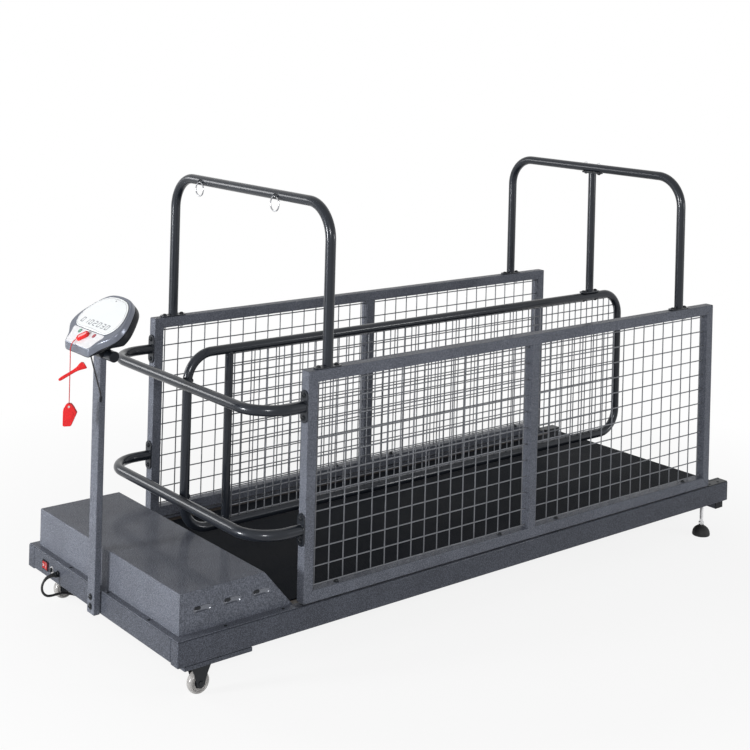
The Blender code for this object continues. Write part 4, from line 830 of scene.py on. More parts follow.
def cord_curve(name, points, radius, finish_name):
    """A round cord as one open curve."""
    data = bpy.data.curves.new(name, "CURVE")
    data.dimensions = "3D"
    data.bevel_depth = radius
    data.bevel_resolution = 5
    data.use_fill_caps = True
    spline = data.splines.new("POLY")
    spline.points.add(len(points) - 1)
    for target, point in zip(spline.points, points):
        target.co = (point.x + ORIGIN_X, point.y, point.z, 1)
    spline.use_smooth = True
    data.materials.append(finish(finish_name))
    piece = bpy.data.objects.new(name, data)
    bpy.context.scene.collection.objects.link(piece)
    return piece


def declare_cord(cord, points, radius, **facts):
    """Measures a cord's start and its length along its route; nothing is kept."""
    start = points[0]
    start[0] + ORIGIN_X
    sum((b - a).length for a, b in zip(points, points[1:]))


# Stage

class TREADMILL_OT_stage(bpy.types.Operator):
    """Sets up the camera, the pale floor and the soft studio light"""
    bl_idname = "treadmill.stage"
    bl_label = "Studio stage"

    def execute(self, context):
        studio = context.scene.treadmill_studio
        scene = context.scene
        scene.view_settings.view_transform = "Standard"
        self.camera(scene)
        self.floor(scene, studio)
        self.room(scene, studio)
        for name, place, size in LAMPS:
            self.lamp(scene, f"{name}_light", place, size, getattr(studio, name))
        return {"FINISHED"}

    def camera(self, scene):
        forward = Vector((math.sin(CAMERA_YAW), math.cos(CAMERA_YAW), 0))
        right = Vector((math.cos(CAMERA_YAW), -math.sin(CAMERA_YAW), 0))
        across = right * math.cos(CAMERA_ROLL) + UP * math.sin(CAMERA_ROLL)
        upward = UP * math.cos(CAMERA_ROLL) - right * math.sin(CAMERA_ROLL)
        data = bpy.data.cameras.new("photo_camera")
        data.lens = CAMERA_LENS
        data.sensor_width = 36
        data.shift_x, data.shift_y = CAMERA_SHIFT
        camera = bpy.data.objects.new("photo_camera", data)
        pose = Matrix((across, upward, -forward)).transposed().to_4x4()
        pose.translation = CAMERA_PLACE
        camera.matrix_world = pose
        scene.collection.objects.link(camera)
        scene.camera = camera

    def floor(self, scene, studio):
        surface = Surface("pale_floor", tuple(studio.floor), 0.8)
        glow = surface.node("ShaderNodeEmission", {}, {"Color": (1, 1, 1, 1), "Strength": 1.0})
        away = surface.node("ShaderNodeVectorMath", {"operation": "LENGTH"}, {0: surface.spot()}, output=1)
        white = (0.72 + away * 0.12).at_least(0.86).at_most(1.0)
        paint = Field(surface, surface.shader.outputs[0])
        mixed = surface.node("ShaderNodeMixShader", {}, {0: surface.seen() * white, 1: paint, 2: glow})
        surface.feed(surface.tree.nodes["Material Output"].inputs["Surface"], mixed)
        mesh = bpy.data.meshes.new("studio_floor")
        corners = [(x * FLOOR_REACH, y * FLOOR_REACH, 0) for x, y in ((-1, -1), (1, -1), (1, 1), (-1, 1))]
        mesh.from_pydata(corners, [], [(0, 1, 2, 3)])
        mesh.materials.append(surface.material)
        floor = bpy.data.objects.new("studio_floor", mesh)
        scene.collection.objects.link(floor)

    def room(self, scene, studio):
        world = bpy.data.worlds.new("studio_room")
        world.use_nodes = True
        room = Graph(world.node_tree)
        sky = room.tree.nodes["Background"].inputs
        room.feed(sky["Color"], (1, 1, 1, 1))
        room.feed(sky["Strength"], room.seen() * (1 - studio.sky) + studio.sky)
        scene.world = world

    def lamp(self, scene, name, place, size, energy):
        data = bpy.data.lights.new(name, "AREA")
        data.shape = "SQUARE"
        data.size = size
        data.energy = energy
        lamp = bpy.data.objects.new(name, data)
        lamp.matrix_world = aim(place, Vector(place) - LAMP_TARGET)
        scene.collection.objects.link(lamp)


# Cords

def coil_points():
    """A layer of loops spiralling in, then one spiralling out on top of it."""
    points = []
    for k in range(2 * COIL_TURNS * COIL_STEPS + 1):
        turns = k / COIL_STEPS - COIL_TURNS
        radius = COIL_INNER + COIL_STEP * abs(turns)
        climb = min(1.0, max(0.0, 0.5 + 2 * turns))
        angle = 2 * math.pi * turns - math.pi / 2
        points.append(COIL_CENTRE + Vector((radius * math.cos(angle), radius * math.sin(angle),
                                            COIL_RISE * climb)))
    return points


def cord_points():
    """The mains lead from the gland down to the floor, then its coil and its tail."""
    loops = coil_points()
    lead = loops[0] - Vector((2 * CORD, 0, 0))
    leave = (loops[-1] - loops[-2]).normalized()
    coil = [lead] + loops + [loops[-1] + leave * COIL_TAIL / 2, loops[-1] + leave * COIL_TAIL]
    knots = [GLAND_MOUTH - Vector((2 * CORD, 0, 0))]
    for k in range(1, 7):
        angle = math.pi * k / 6
        knots.append(knots[0] + Vector((-math.sin(angle), 0, math.cos(angle) - 1)) * CORD_TURN)
    low = knots[-1]
    for share, drop in ((0.2, 0.03), (0.45, 0.3), (0.65, 0.7), (0.83, 0.96)):
        knots.append(low.lerp(lead, share))
        knots[-1].z = low.z + drop * (CORD - low.z)
    end = lead - Vector((GAP, 0, 0))
    knots.append(end - Vector((2 * CORD, 0, 0)))
    return [GLAND_MOUTH] + smooth_route(knots) + coil, leave


class TREADMILL_OT_mains_cord(bpy.types.Operator):
    """Makes the mains cord with its gland, strain relief, coil and plug"""
    bl_idname = "treadmill.mains_cord"
    bl_label = "Mains cord"

    def execute(self, context):
        points, leave = cord_points()
        cord = cord_curve("mains_cord", points, CORD, "rubber")
        place_piece(cord, "frame", "black_rubber", "power_cord", "power_cord_coil")
        gland = Shape()
        place = aim((BEAM_FACE, GLAND_Y, BEAM_MIDDLE), (-1, 0, 0))
        gland.turned([(CORD, 0.0138), (0.0062, 0.0138), (0.0074, 0.0128), (0.0082, 0.0108), (0.0082, 0.009),
                      (0.0062, 0.0086), (0.0062, 0.003), (CORD, 0.003)], "black_plastic", place, 32, closed=True)
        gland.turned([(CORD, 0.0058), (0.009, 0.0058), (0.0101, 0.005), (0.0101, GAP), (CORD, GAP)],
                     "black_plastic", place, 6, closed=True)
        gland.done("cord_gland_nut", "frame", "black_plastic", "cord_gland")
        sleeve = Shape()
        path, radii, walked = [], [], 0.0
        for a, b in zip(points, points[1:]):
            share = walked / RELIEF_LENGTH
            if share > 1:
                break
            path.append(a)
            rib = 0.0004 if int(walked / RELIEF_RIB) % 2 else 0.0
            radii.append(0.0057 - 0.0019 * share + rib)
            walked += (b - a).length
        sleeve.tube(path, radii, "rubber", 24)
        relief = sleeve.done("cord_strain_relief", "frame", "black_rubber")
        plug = Shape()
        place = aim(points[-1] + leave * GAP, leave)
        plug.turned([(0, 0.0), (CORD * 1.15, 0.0), (CORD * 1.35, 0.004), (CORD * 1.3, 0.006), (CORD * 1.6, 0.007),
                     (CORD * 1.55, 0.0095), (CORD * 1.9, 0.0105), (CORD * 1.85, 0.013), (0.0085, 0.016),
                     (0.0102, 0.022), (0.0109, 0.03), (0.0109, 0.034), (0.0104, 0.0345), (0.0104, 0.0362),
                     (0.0109, 0.0368), (0.0109, 0.0442), (0.0102, 0.0458), (0, 0.0458)], "rubber", place, 36)
        plug_piece = plug.done("mains_plug", "frame", "black_rubber", "power_plug")
        declare_cord(cord, points, CORD, far_end="plug", stiffness="medium", lay="coiled",
                     with_pieces=[plug_piece, relief])
        return {"FINISHED"}


def console_place():
    """The console's own frame: x to the near side, y up the face, z out of the face."""
    out = Vector((-math.cos(CONSOLE_TILT), 0, math.sin(CONSOLE_TILT)))
    upward = Vector((math.sin(CONSOLE_TILT), 0, math.cos(CONSOLE_TILT)))
    place = Matrix((Vector((0, -1, 0)), upward, out)).transposed().to_4x4()
    place.translation = Vector((POST_X, CONSOLE_SIDE, T_BAR_Z)) + out * CONSOLE_OFFSET
    return place


def lanyard_points():
    """The lanyard's route from the key over the chin, down through the toggle to the clip."""
    place = console_place()
    axis = Vector((math.sin(KEY_TURN), -math.cos(KEY_TURN), 0))
    end = Vector((*KEY_PLACE, LANYARD_LIFT)) + axis * (KEY_SIZE[0] / 2 + GAP)
    start = place @ end
    out = (place.to_3x3() @ axis).normalized()
    over = place @ Vector((end.x, CHIN_LOW + LANYARD, LANYARD_LIFT))
    hang = place @ Vector((end.x, CHIN_LOW - 0.0094, 0))
    top = hang + DOWN * LANYARD_DROP
    knots = [start + out * 2 * LANYARD, over, hang + DOWN * 0.005, hang + DOWN * LANYARD_DROP / 2,
             top + UP * 2 * LANYARD]
    clip = top + DOWN * CLIP_DROP
    return [start] + smooth_route(knots) + [top, clip, clip + DOWN * 0.01], top, clip


def toggle_rings():
    """Rings along the toggle: a round-cornered bar that widens to a paddle."""
    rings = [[(-0.036, 0, -0.0003)]]
    for x, low, high, deep in ((-0.0352, -0.0026, 0.0022, 0.0024), (-0.0325, -0.0042, 0.0036, 0.0036),
                               (-0.025, -0.0046, 0.0046, 0.0042), (-0.012, -0.0046, 0.0046, 0.0042),
                               (0.0, -0.0044, 0.0044, 0.004), (0.014, -0.0046, 0.0048, 0.0038),
                               (0.025, -0.0056, 0.0062, 0.0036), (0.035, -0.0082, 0.01, 0.0034),
                               (0.042, -0.0104, 0.0112, 0.0032), (0.0462, -0.0112, 0.0088, 0.003),
                               (0.0478, -0.0102, 0.0068, 0.0022)):
        middle, half = (low + high) / 2, (high - low) / 2
        ring = []
        for k in range(24):
            across, upward = math.cos(2 * math.pi * k / 24), math.sin(2 * math.pi * k / 24)
            ring.append((x, -deep * math.copysign(abs(across) ** 0.7, across),
                         middle + half * math.copysign(abs(upward) ** 0.8, upward)))
        rings.append(ring)
    return rings + [[(0.048, 0, -0.0017)]]


class TREADMILL_OT_lanyard(bpy.types.Operator):
    """Makes the safety key with its lanyard, toggle and clip"""
    bl_idname = "treadmill.lanyard"
    bl_label = "Safety key and lanyard"

    def execute(self, context):
        points, top, clip_top = lanyard_points()
        body = "safety_key"
        cord = cord_curve("key_lanyard", points, LANYARD, "braid")
        place_piece(cord, body, "red_cord", "safety_lanyard")
        key = Shape()
        turned = (console_place() @ Matrix.Translation((*KEY_PLACE, GAP))
                  @ Matrix.Rotation(KEY_TURN, 4, "Z"))
        half_long, half_wide = KEY_SIZE[0] / 2, KEY_SIZE[1] / 2
        loops = []
        for height, inset in ((0.0, 0.0006), (0.0006, 0.0), (0.0068, 0.0), (0.0082, 0.0007), (0.0089, 0.0022),
                              (0.0089, 0.0048), (0.0081, 0.0058), (0.008, 0.0085)):
            loops.append([(x * (half_wide - inset) / half_wide, y * (half_long - inset) / half_long, height)
                          for x, y in capsule(*KEY_SIZE, 16)])
        key.loft(loops, "red", turned)
        # A pale red oval on the key's top is a painted highlight.
        key.plate([capsule(0.026, 0.0082)], 0.0005, "key_highlight", turned @ Matrix.Translation((0, 0, 0.0082)), 0.0002, 1)
        key.done("magnet_key", body, "red_plastic", "safety_key")
        toggle = Shape()
        turn = Matrix.Rotation(TOGGLE_TURN, 4, "Z")
        toggle.loft(toggle_rings(), "red", Matrix.Translation(top + DOWN * TOGGLE_MIDDLE) @ turn
                    @ Matrix.Rotation(TOGGLE_LEAN, 4, "Y"))
        toggle_piece = toggle.done("key_toggle", body, "red_plastic", "lanyard_toggle")
        clip_piece = self.clip(clip_top, turn, body)
        declare_cord(cord, points, LANYARD, far_end="connector", stiffness="limp", lay="hanging",
                     with_pieces=[toggle_piece, clip_piece])
        return {"FINISHED"}

    def clip(self, clip_top, turn, body):
        """The clothing clip: two jaws on a pin, with a raised pad."""
        clip = Shape()
        outline = ((-0.2, 0), (-0.42, -0.05), (-0.62, -0.15), (-0.76, -0.26), (-0.8, -0.36), (-0.8, -0.93),
                   (-0.76, -0.98), (-0.62, -1), (0.28, -0.985), (0.4, -0.95), (1.12, -0.42), (1.12, -0.37),
                   (0.88, -0.25), (0.74, -0.17), (0.5, -0.07), (0.28, 0))
        pad = [(0.1 + x * 0.7, -0.55 + (y + 0.55) * 0.66) for x, y in
               ((-0.76, -0.42), (-0.7, -0.95), (0.2, -0.92), (0.95, -0.42), (0.5, -0.2), (-0.3, -0.18))]
        outline, pad = ([(x * CLIP_SIZE[0], y * CLIP_SIZE[1]) for x, y in loop] for loop in (outline, pad))
        place = Matrix.Translation(clip_top + DOWN * GAP) @ turn @ wall(0, -1)
        for way in (-1, 1):
            clip.plate([outline], 0.0052, "red", place @ Matrix.Translation((0, 0, way * 0.0033)), 0.0016, 3)
        clip.plate([pad], 0.0012, "red", place @ Matrix.Translation((0, 0, 0.0058)), 0.0008, 2)
        clip.disc(0.003, -0.0066, 0.0066, "zinc", place @ Matrix.Translation((0.001, -0.0085, 0)), 20)
        return clip.done("clothing_clip", body, "red_plastic", "lanyard_clip")


def smooth_loop(half, inset=0.0):
    """A closed smooth outline from its near half, mirrored to the far side and drawn in by an inset."""
    loop = [Vector(p) for p in half] + [Vector((-x, y)) for x, y in reversed(half[1:-1])]
    count = len(loop)
    points = []
    centre = Vector((0, SHIELD_CENTRE))
    for index in range(count):
        for point in smooth_run(*(loop[(index + k) % count] for k in (-1, 0, 1, 2)), 6):
            arm = point - centre
            points.append(centre + arm * (1.0 - inset / arm.length))
    return points


def shield(low, inset):
    """The console's outline, with its lower edge at the given height."""
    rise = 0.028 - low
    chin = ((0.0, low), (0.0602, low), (0.0714, low + rise * 0.1), (0.0868, low + rise * 0.38),
            (0.1159, low + rise * 0.72))
    return smooth_loop(chin + SHIELD_BROW, inset)


def layers(levels):
    """Loops for a skin in the console's frame, from (outline, height) pairs."""
    return [[(p.x, p.y, height) for p in outline] for outline, height in levels]


def cable_points():
    """The console cable's route from the casing's underside down to its plug."""
    place = console_place()
    lows = []
    for low, depth in ((FLARE_LOW, GAP), (-0.005, GAP + BACK_DEPTH)):
        lows.append(Vector((CABLE_SIDE, CABLE_CENTRE + (low - CABLE_CENTRE) * CABLE_SCALE, -FACE_DEPTH - depth)))
    under = (place.to_3x3() @ (lows[1] - lows[0]).cross(Vector((1, 0, 0)))).normalized()
    leave = place @ lows[0].lerp(lows[1], 0.5) + under * GAP
    top = Vector((POST_X - 0.022, -0.05, 0.719))
    knots = [leave + under * 2 * CABLE, leave.lerp(top, 0.5), top + UP * 2 * CABLE]
    return [leave] + smooth_route(knots) + [top], top


class TREADMILL_OT_console_cable(bpy.types.Operator):
    """Makes the short cable that hangs under the console, and its plug"""
    bl_idname = "treadmill.console_cable"
    bl_label = "Console cable"

    def execute(self, context):
        points, top = cable_points()
        cable = cord_curve("console_lead", points, CABLE, "rubber")
        place_piece(cable, "frame", "black_plastic", "console_cable")
        plug = Shape()
        plug.turned([(0, 0), (0.0026, 0), (0.0034, 0.0022), (0.0039, 0.003), (0.0039, 0.0115), (0.0031, 0.0122),
                     (0.0031, 0.0158), (0, 0.0158)], "black_plastic", aim(top + DOWN * GAP, DOWN), 28)
        plug_piece = plug.done("console_lead_plug", "frame", "black_plastic", "console_cable_plug")
        declare_cord(cable, points, CABLE, far_end="connector", stiffness="medium", lay="hanging",
                     with_pieces=[plug_piece])
        return {"FINISHED"}


# Base

class TREADMILL_OT_base_frame(bpy.types.Operator):
    """Makes the rails, the front beam and the tubes across them"""
    bl_idname = "treadmill.base_frame"
    bl_label = "Base frame"

    def execute(self, context):
        sizes, _ = settings(context)
        for label, side in SIDES:
            self.rail(label, side, sizes)
        beam = Shape()
        front = [(-BEAM_HALF, BEAM_LOW), (BEAM_HALF, BEAM_LOW), (BEAM_HALF, RAIL_TOP), (-BEAM_HALF, RAIL_TOP)]
        hole = [(0.2978, 0.1253), (0.3322, 0.1253), (0.3322, 0.1497), (0.2978, 0.1497)]
        across = Matrix(((0, 0, 1, -0.376), (1, 0, 0, 0), (0, 1, 0, 0), (0, 0, 0, 1)))
        beam.plate([front, hole], 0.036, "base", across, sizes.rail_corner, 3)
        beam.box((-0.3585, 0.29, 0.12), (-0.358, 0.34, 0.155), "black", 0)
        beam.done("front_beam_tube", "frame", "hammertone_steel", "front_crossbeam")
        rear = Shape()
        (x0, z0), (x1, z1) = CROSS_TUBE
        rear.box((x0, -0.4215, z0), (x1, 0.4215, z1), "base", 0.0022)
        for side in (-1, 1):
            rear.box((x0, side * 0.4213, z0), (x1, side * 0.424, z1), "black_plastic", 0.001)
            rear.bolt((1.8265, side * 0.4238, 0.0955), (0, side, 0), 0.0045, 0.0015, washer=0)
        rear.done("rear_cross_member", "frame", "hammertone_steel", "rear_cross_tube")
        for node in ("front_deck_crossmember", "rear_deck_crossmember"):
            dress(node, "black")
        return {"FINISHED"}

    def rail(self, label, side, sizes):
        rail = Shape()
        low, high = sorted((side * RAIL_IN, side * RAIL_OUT))
        rail.box((RAIL_FRONT, low, RAIL_UNDER), (RAIL_REAR - 0.0025, high, RAIL_TOP), "base",
                 sizes.rail_corner, 3)
        rail.box((RAIL_REAR - 0.004, low + 0.0006, RAIL_UNDER + 0.0006),
                 (RAIL_REAR, high - 0.0006, RAIL_TOP - 0.0006), "black_plastic", 0.0015)
        ear = sorted((side * 0.383, side * 0.3915))
        rail.box((1.78, ear[0], 0.1082), (1.8597, ear[1], CAP_TOP - 0.0005), "black", 0.0012)
        cap = sorted((side * RAIL_IN, side * 0.4245))
        rail.box((1.759, cap[0], RAIL_TOP - 0.001), (1.8597, cap[1], 0.1705), "black", 0.001)
        for x in (1.7765, 1.8225):
            rail.bolt((x, side * 0.4125, 0.1702), (0, 0, 1), 0.0058, 0.0017, washer=0)
        rail.disc(0.0115, -0.0005, 0.0015, "zinc", aim((TAIL_X, side * 0.383, ROLLER_Z), (0, -side, 0)), 32, 0.001)
        rail.disc(0.0062, -0.001, 0.0004, "zinc", aim((1.8595, side * PANEL_Y, ROLLER_Z), (1, 0, 0)), 6)
        for x in PANEL_BOLTS:
            rail.turned([(0.0145, 0.0032), (0.0145, 0), (0, 0), (0, 0.0032)], "black",
                        aim((x, side * PANEL_Y, RAIL_TOP), (0, 0, 1)), 28)
        rail.done(f"{label}_rail_tube", "frame", "hammertone_steel", f"{label}_side_rail")


def dress(node, finish_name):
    """Gives a CAD node that stays its own finish."""
    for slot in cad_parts[node].material_slots:
        slot.material = finish(finish_name)


class TREADMILL_OT_casters_and_feet(bpy.types.Operator):
    """Makes the front casters with their mounting plates, and the levelling feet at the rear"""
    bl_idname = "treadmill.casters_and_feet"
    bl_label = "Casters and levelling feet"

    def execute(self, context):
        for label, side in SIDES:
            self.mount(label, side)
            self.fork(label, side * CASTER_Y)
            self.wheel(label, side * CASTER_Y)
            self.foot(label, side * FOOT_Y)
        return {"FINISHED"}

    def mount(self, label, side):
        mount = Shape()
        low, high = sorted((side * 0.335, side * RAIL_OUT))
        mount.box((-0.373, low, 0.0907), (-0.165, high, 0.1027), "base", 0.002)
        for x in (-0.352, -0.186):
            mount.bolt((x, side * 0.352, 0.091), (0, 0, -1), 0.006, 0.004)
        mount.done(f"{label}_caster_plate", "frame", "hammertone_steel", f"{label}_caster_mount")

    def fork(self, label, y):
        fork = Shape()
        top = [(-0.034, -0.0165), (0.034, -0.0165), (0.034, 0.0165), (-0.034, 0.0165)]
        fork.plate([top], 0.003, "black", Matrix.Translation((CASTER_X, y, 0.0889)), 0.0012)
        slope = [(-0.034, 0.0885), (-0.0335, 0.083), (-0.028, 0.072), (-0.0205, 0.056), (-0.0148, 0.04)]
        round_end = []
        for k in range(15):
            angle = math.radians(195 + 150 * k / 14)
            round_end.append((0.013 * math.cos(angle), WHEEL_RADIUS + 0.013 * math.sin(angle)))
        outline = slope + round_end + [(-x, z) for x, z in reversed(slope)]
        for way in (-1, 1):
            fork.plate([outline], 0.003, "black",
                       Matrix.Translation((CASTER_X, 0, 0)) @ wall(y + way * FORK_CHEEK), 0.0009)
            hub = aim((CASTER_X, y + way * 0.0165, WHEEL_RADIUS), (0, way, 0))
            fork.turned([(0, 0.0029), (0.0066, 0.0029), (0.0074, 0.0022), (0.0074, 0), (0, 0)], "black", hub, 6)
        fork.disc(0.004, -0.019, 0.019, "zinc", aim((CASTER_X, y, WHEEL_RADIUS), (0, 1, 0)), 20)
        fork.turned([(0, 0.0004), (0.014, 0.0004), (0.016, -0.002), (0.014, -0.006), (0, -0.006)], "black",
                    aim((CASTER_X, y, 0.0875), (0, 0, 1)), 36)
        fork.done(f"{label}_caster_yoke", "frame", "black_steel", f"{label}_caster_fork")

    def wheel(self, label, y):
        wheel = Shape()
        place = aim((CASTER_X, y, WHEEL_RADIUS), (0, 1, 0))
        rim = []
        for k in range(13):
            angle = math.pi * k / 12 - math.pi / 2
            rim.append((0.0245 + 0.0065 * math.cos(angle), 0.012 * math.sin(angle)))
        rim += [(0.0225, 0.0108), (0.0212, 0.0085), (0.0195, 0.0085), (0.0188, 0.0105), (0.0172, 0.0105),
                (0.0165, 0.0082), (0.015, 0.0082), (0.015, -0.0082), (0.0165, -0.0082), (0.0172, -0.0105),
                (0.0188, -0.0105), (0.0195, -0.0085), (0.0212, -0.0085), (0.0225, -0.0108)]
        wheel.turned(rim, "tyre", place, 56, closed=True)
        wheel.turned([(0.0045, 0.0118), (0.0115, 0.0118), (0.0125, 0.0108), (0.0128, 0.0092), (0.0152, 0.0084),
                      (0.0152, -0.0084), (0.0128, -0.0092), (0.0125, -0.0108), (0.0115, -0.0118),
                      (0.0045, -0.0118)], "black_plastic", place, 40, closed=True)
        wheel.done(f"{label}_caster_roller", f"{label}_caster_wheel", "clear_wheel", f"{label}_caster_wheel")

    def foot(self, label, y):
        foot = Shape()
        dome = [(0, 0.036), (0.0085, 0.036), (0.0095, 0.0352), (0.0102, 0.0322), (0.0168, 0.0296), (0.0225, 0.0252),
                (0.0264, 0.02), (0.0289, 0.0144), (0.0301, 0.0086), (0.0305, 0.004), (0.0302, 0.0014),
                (0.0292, 0.0003), (0.0275, 0), (0, 0)]
        place = Matrix.Translation((FOOT_X, y, 0))
        foot.turned(dome, "rubber", place, 48)
        foot.turned([(0, 0.138), (0.0055, 0.138), (0.006, 0.1375)]
                    + [(0.006 - 0.0006 * (k % 2), 0.1 - 0.001 * k) for k in range(44)]
                    + [(0.006, 0.0545), (0.006, 0.035), (0, 0.035)], "zinc", place, 20)
        foot.turned([(0, 0.0465), (0.0084, 0.0465), (0.0094, 0.0455), (0.0094, 0.0405), (0.0084, 0.0395),
                     (0, 0.0395)], "zinc", place, 6)
        foot.done(f"{label}_foot_and_stud", f"{label}_levelling_foot", "black_rubber", f"{label}_levelling_foot")


# Running deck and drive

class TREADMILL_OT_running_deck(bpy.types.Operator):
    """Makes the running belt and dresses the board, rollers and drive"""
    bl_idname = "treadmill.running_deck"
    bl_label = "Running deck and drive"

    def execute(self, context):
        belt = Shape()
        outline = []
        for radius in BELT_RADII:
            loop = []
            for x, start in ((TAIL_X, -90), (DRIVE_X, 90)):
                for k in range(33):
                    angle = math.radians(start + 180 * k / 32)
                    loop.append((x + radius * math.cos(angle), ROLLER_Z + radius * math.sin(angle)))
            outline.append(loop)
        belt.plate(outline, BELT_WIDTH, "belt", wall(0), 0.0004, 1)
        belt.done("running_belt_loop", "frame", "belt_rubber", "running_belt")
        for node, finish_name in (("deck_board", "board"), ("drive_roller", "zinc"), ("tail_roller", "zinc"),
                                  ("drive_roller_shaft", "zinc"), ("tail_roller_shaft", "zinc"),
                                  ("roller_pulley", "black"), ("motor_pulley", "black"), ("drive_motor", "enamel"),
                                  ("drive_belt", "rubber"), ("motor_bracket", "black"),
                                  ("motor_controller", "black_plastic")):
            dress(node, finish_name)
        return {"FINISHED"}


class TREADMILL_OT_motor_cover(bpy.types.Operator):
    """Makes the folded cover over the motor, with its flange, screws and vents"""
    bl_idname = "treadmill.motor_cover"
    bl_label = "Motor cover"

    def execute(self, context):
        cover = Shape()
        sheet, foot, top, half = COVER_SHEET, RAIL_TOP + GAP, COVER_TOP, COVER_HALF
        front, crest, rear = COVER_X
        slope = (rear - crest) / (top - foot)
        shift = sheet * math.hypot(1, slope)
        folded = self.fold(front, crest, rear, foot, top)
        folded += [(rear - shift, foot), (crest - shift + sheet * slope, top - sheet), (front + sheet, top - sheet),
                   (front + sheet, foot)]
        cover.plate([folded], 2 * half, "hammertone", wall(0), 0.0012, 2)
        flank = self.fold(front + 0.001, crest - 0.0005, rear - 0.0015, foot, top - 0.001)
        vents = [[(x + px, VENT_Z + pz) for pz, px in capsule(VENT[0] - 0.0006, VENT[1] - 0.0006)]
                 for x in VENT_PLACES]
        for side in (-1, 1):
            cover.plate([flank, *vents], sheet, "hammertone", wall(side * (half - sheet / 2 - 0.0001)), 0)
            edge = sorted((side * (half - sheet), side * (half + 0.027)))
            cover.box((front - COVER_LIP, edge[0], foot), (rear - 2 * shift, edge[1], foot + sheet), "hammertone",
                      0.0011)
            for x in VENT_PLACES:
                self.vent(cover, x, side)
        cover.box((front - COVER_LIP, -half, foot), (front + sheet, half, foot + sheet), "hammertone", 0.0011)
        for x, y in COVER_SCREWS:
            cover.bolt((x, y, foot + sheet), (0, 0, 1), 0.0036, 0.0022, washer=1.25)
        cover.done("motor_hood", "frame", "hammertone_steel", "motor_cover")
        return {"FINISHED"}

    def fold(self, front, crest, rear, foot, top):
        """The cover's outer profile in (x, z), its two folds rounded."""
        corners = [(front, 0, foot), (front, 0, top), (crest, 0, top), (rear, 0, foot)]
        return [(p[0], p[2]) for p in rounded_path(corners, COVER_FOLD, 6)]

    def vent(self, cover, x, side):
        """A pressed dish, with a black plate at its front end as painted shade where the louvre lies in shadow."""
        middle = Vector((x, side * COVER_HALF, VENT_Z))
        loops = []
        for share, depth in ((0, 0.0078), (0.4, 0.0078), (0.72, 0.0066), (0.92, 0.0036), (1.03, 0.0022),
                             (1.03, 0.0003), (1.0, 0.0), (0.97, 0.0004), (0.9, 0.0022), (0.7, 0.0052),
                             (0.4, 0.0063), (0, 0.0063)):
            outline = capsule(*VENT) if share else [(0, 0)]
            loops.append([middle + Vector((px * share, -side * depth, pz * share)) for pz, px in outline])
        cover.loft(loops, "dish")
        # Painted shade: a black plate at the dish's front end stands for the shadowed louvre.
        slot = [(px - 0.0115, pz) for pz, px in capsule(0.021, 0.0085, 8)]
        cover.plate([slot], 0.0016, "black", Matrix.Translation((middle.x, 0, middle.z))
                    @ wall(middle.y - side * 0.0052), 0.0004, 1)


# Panels, tubes and mesh

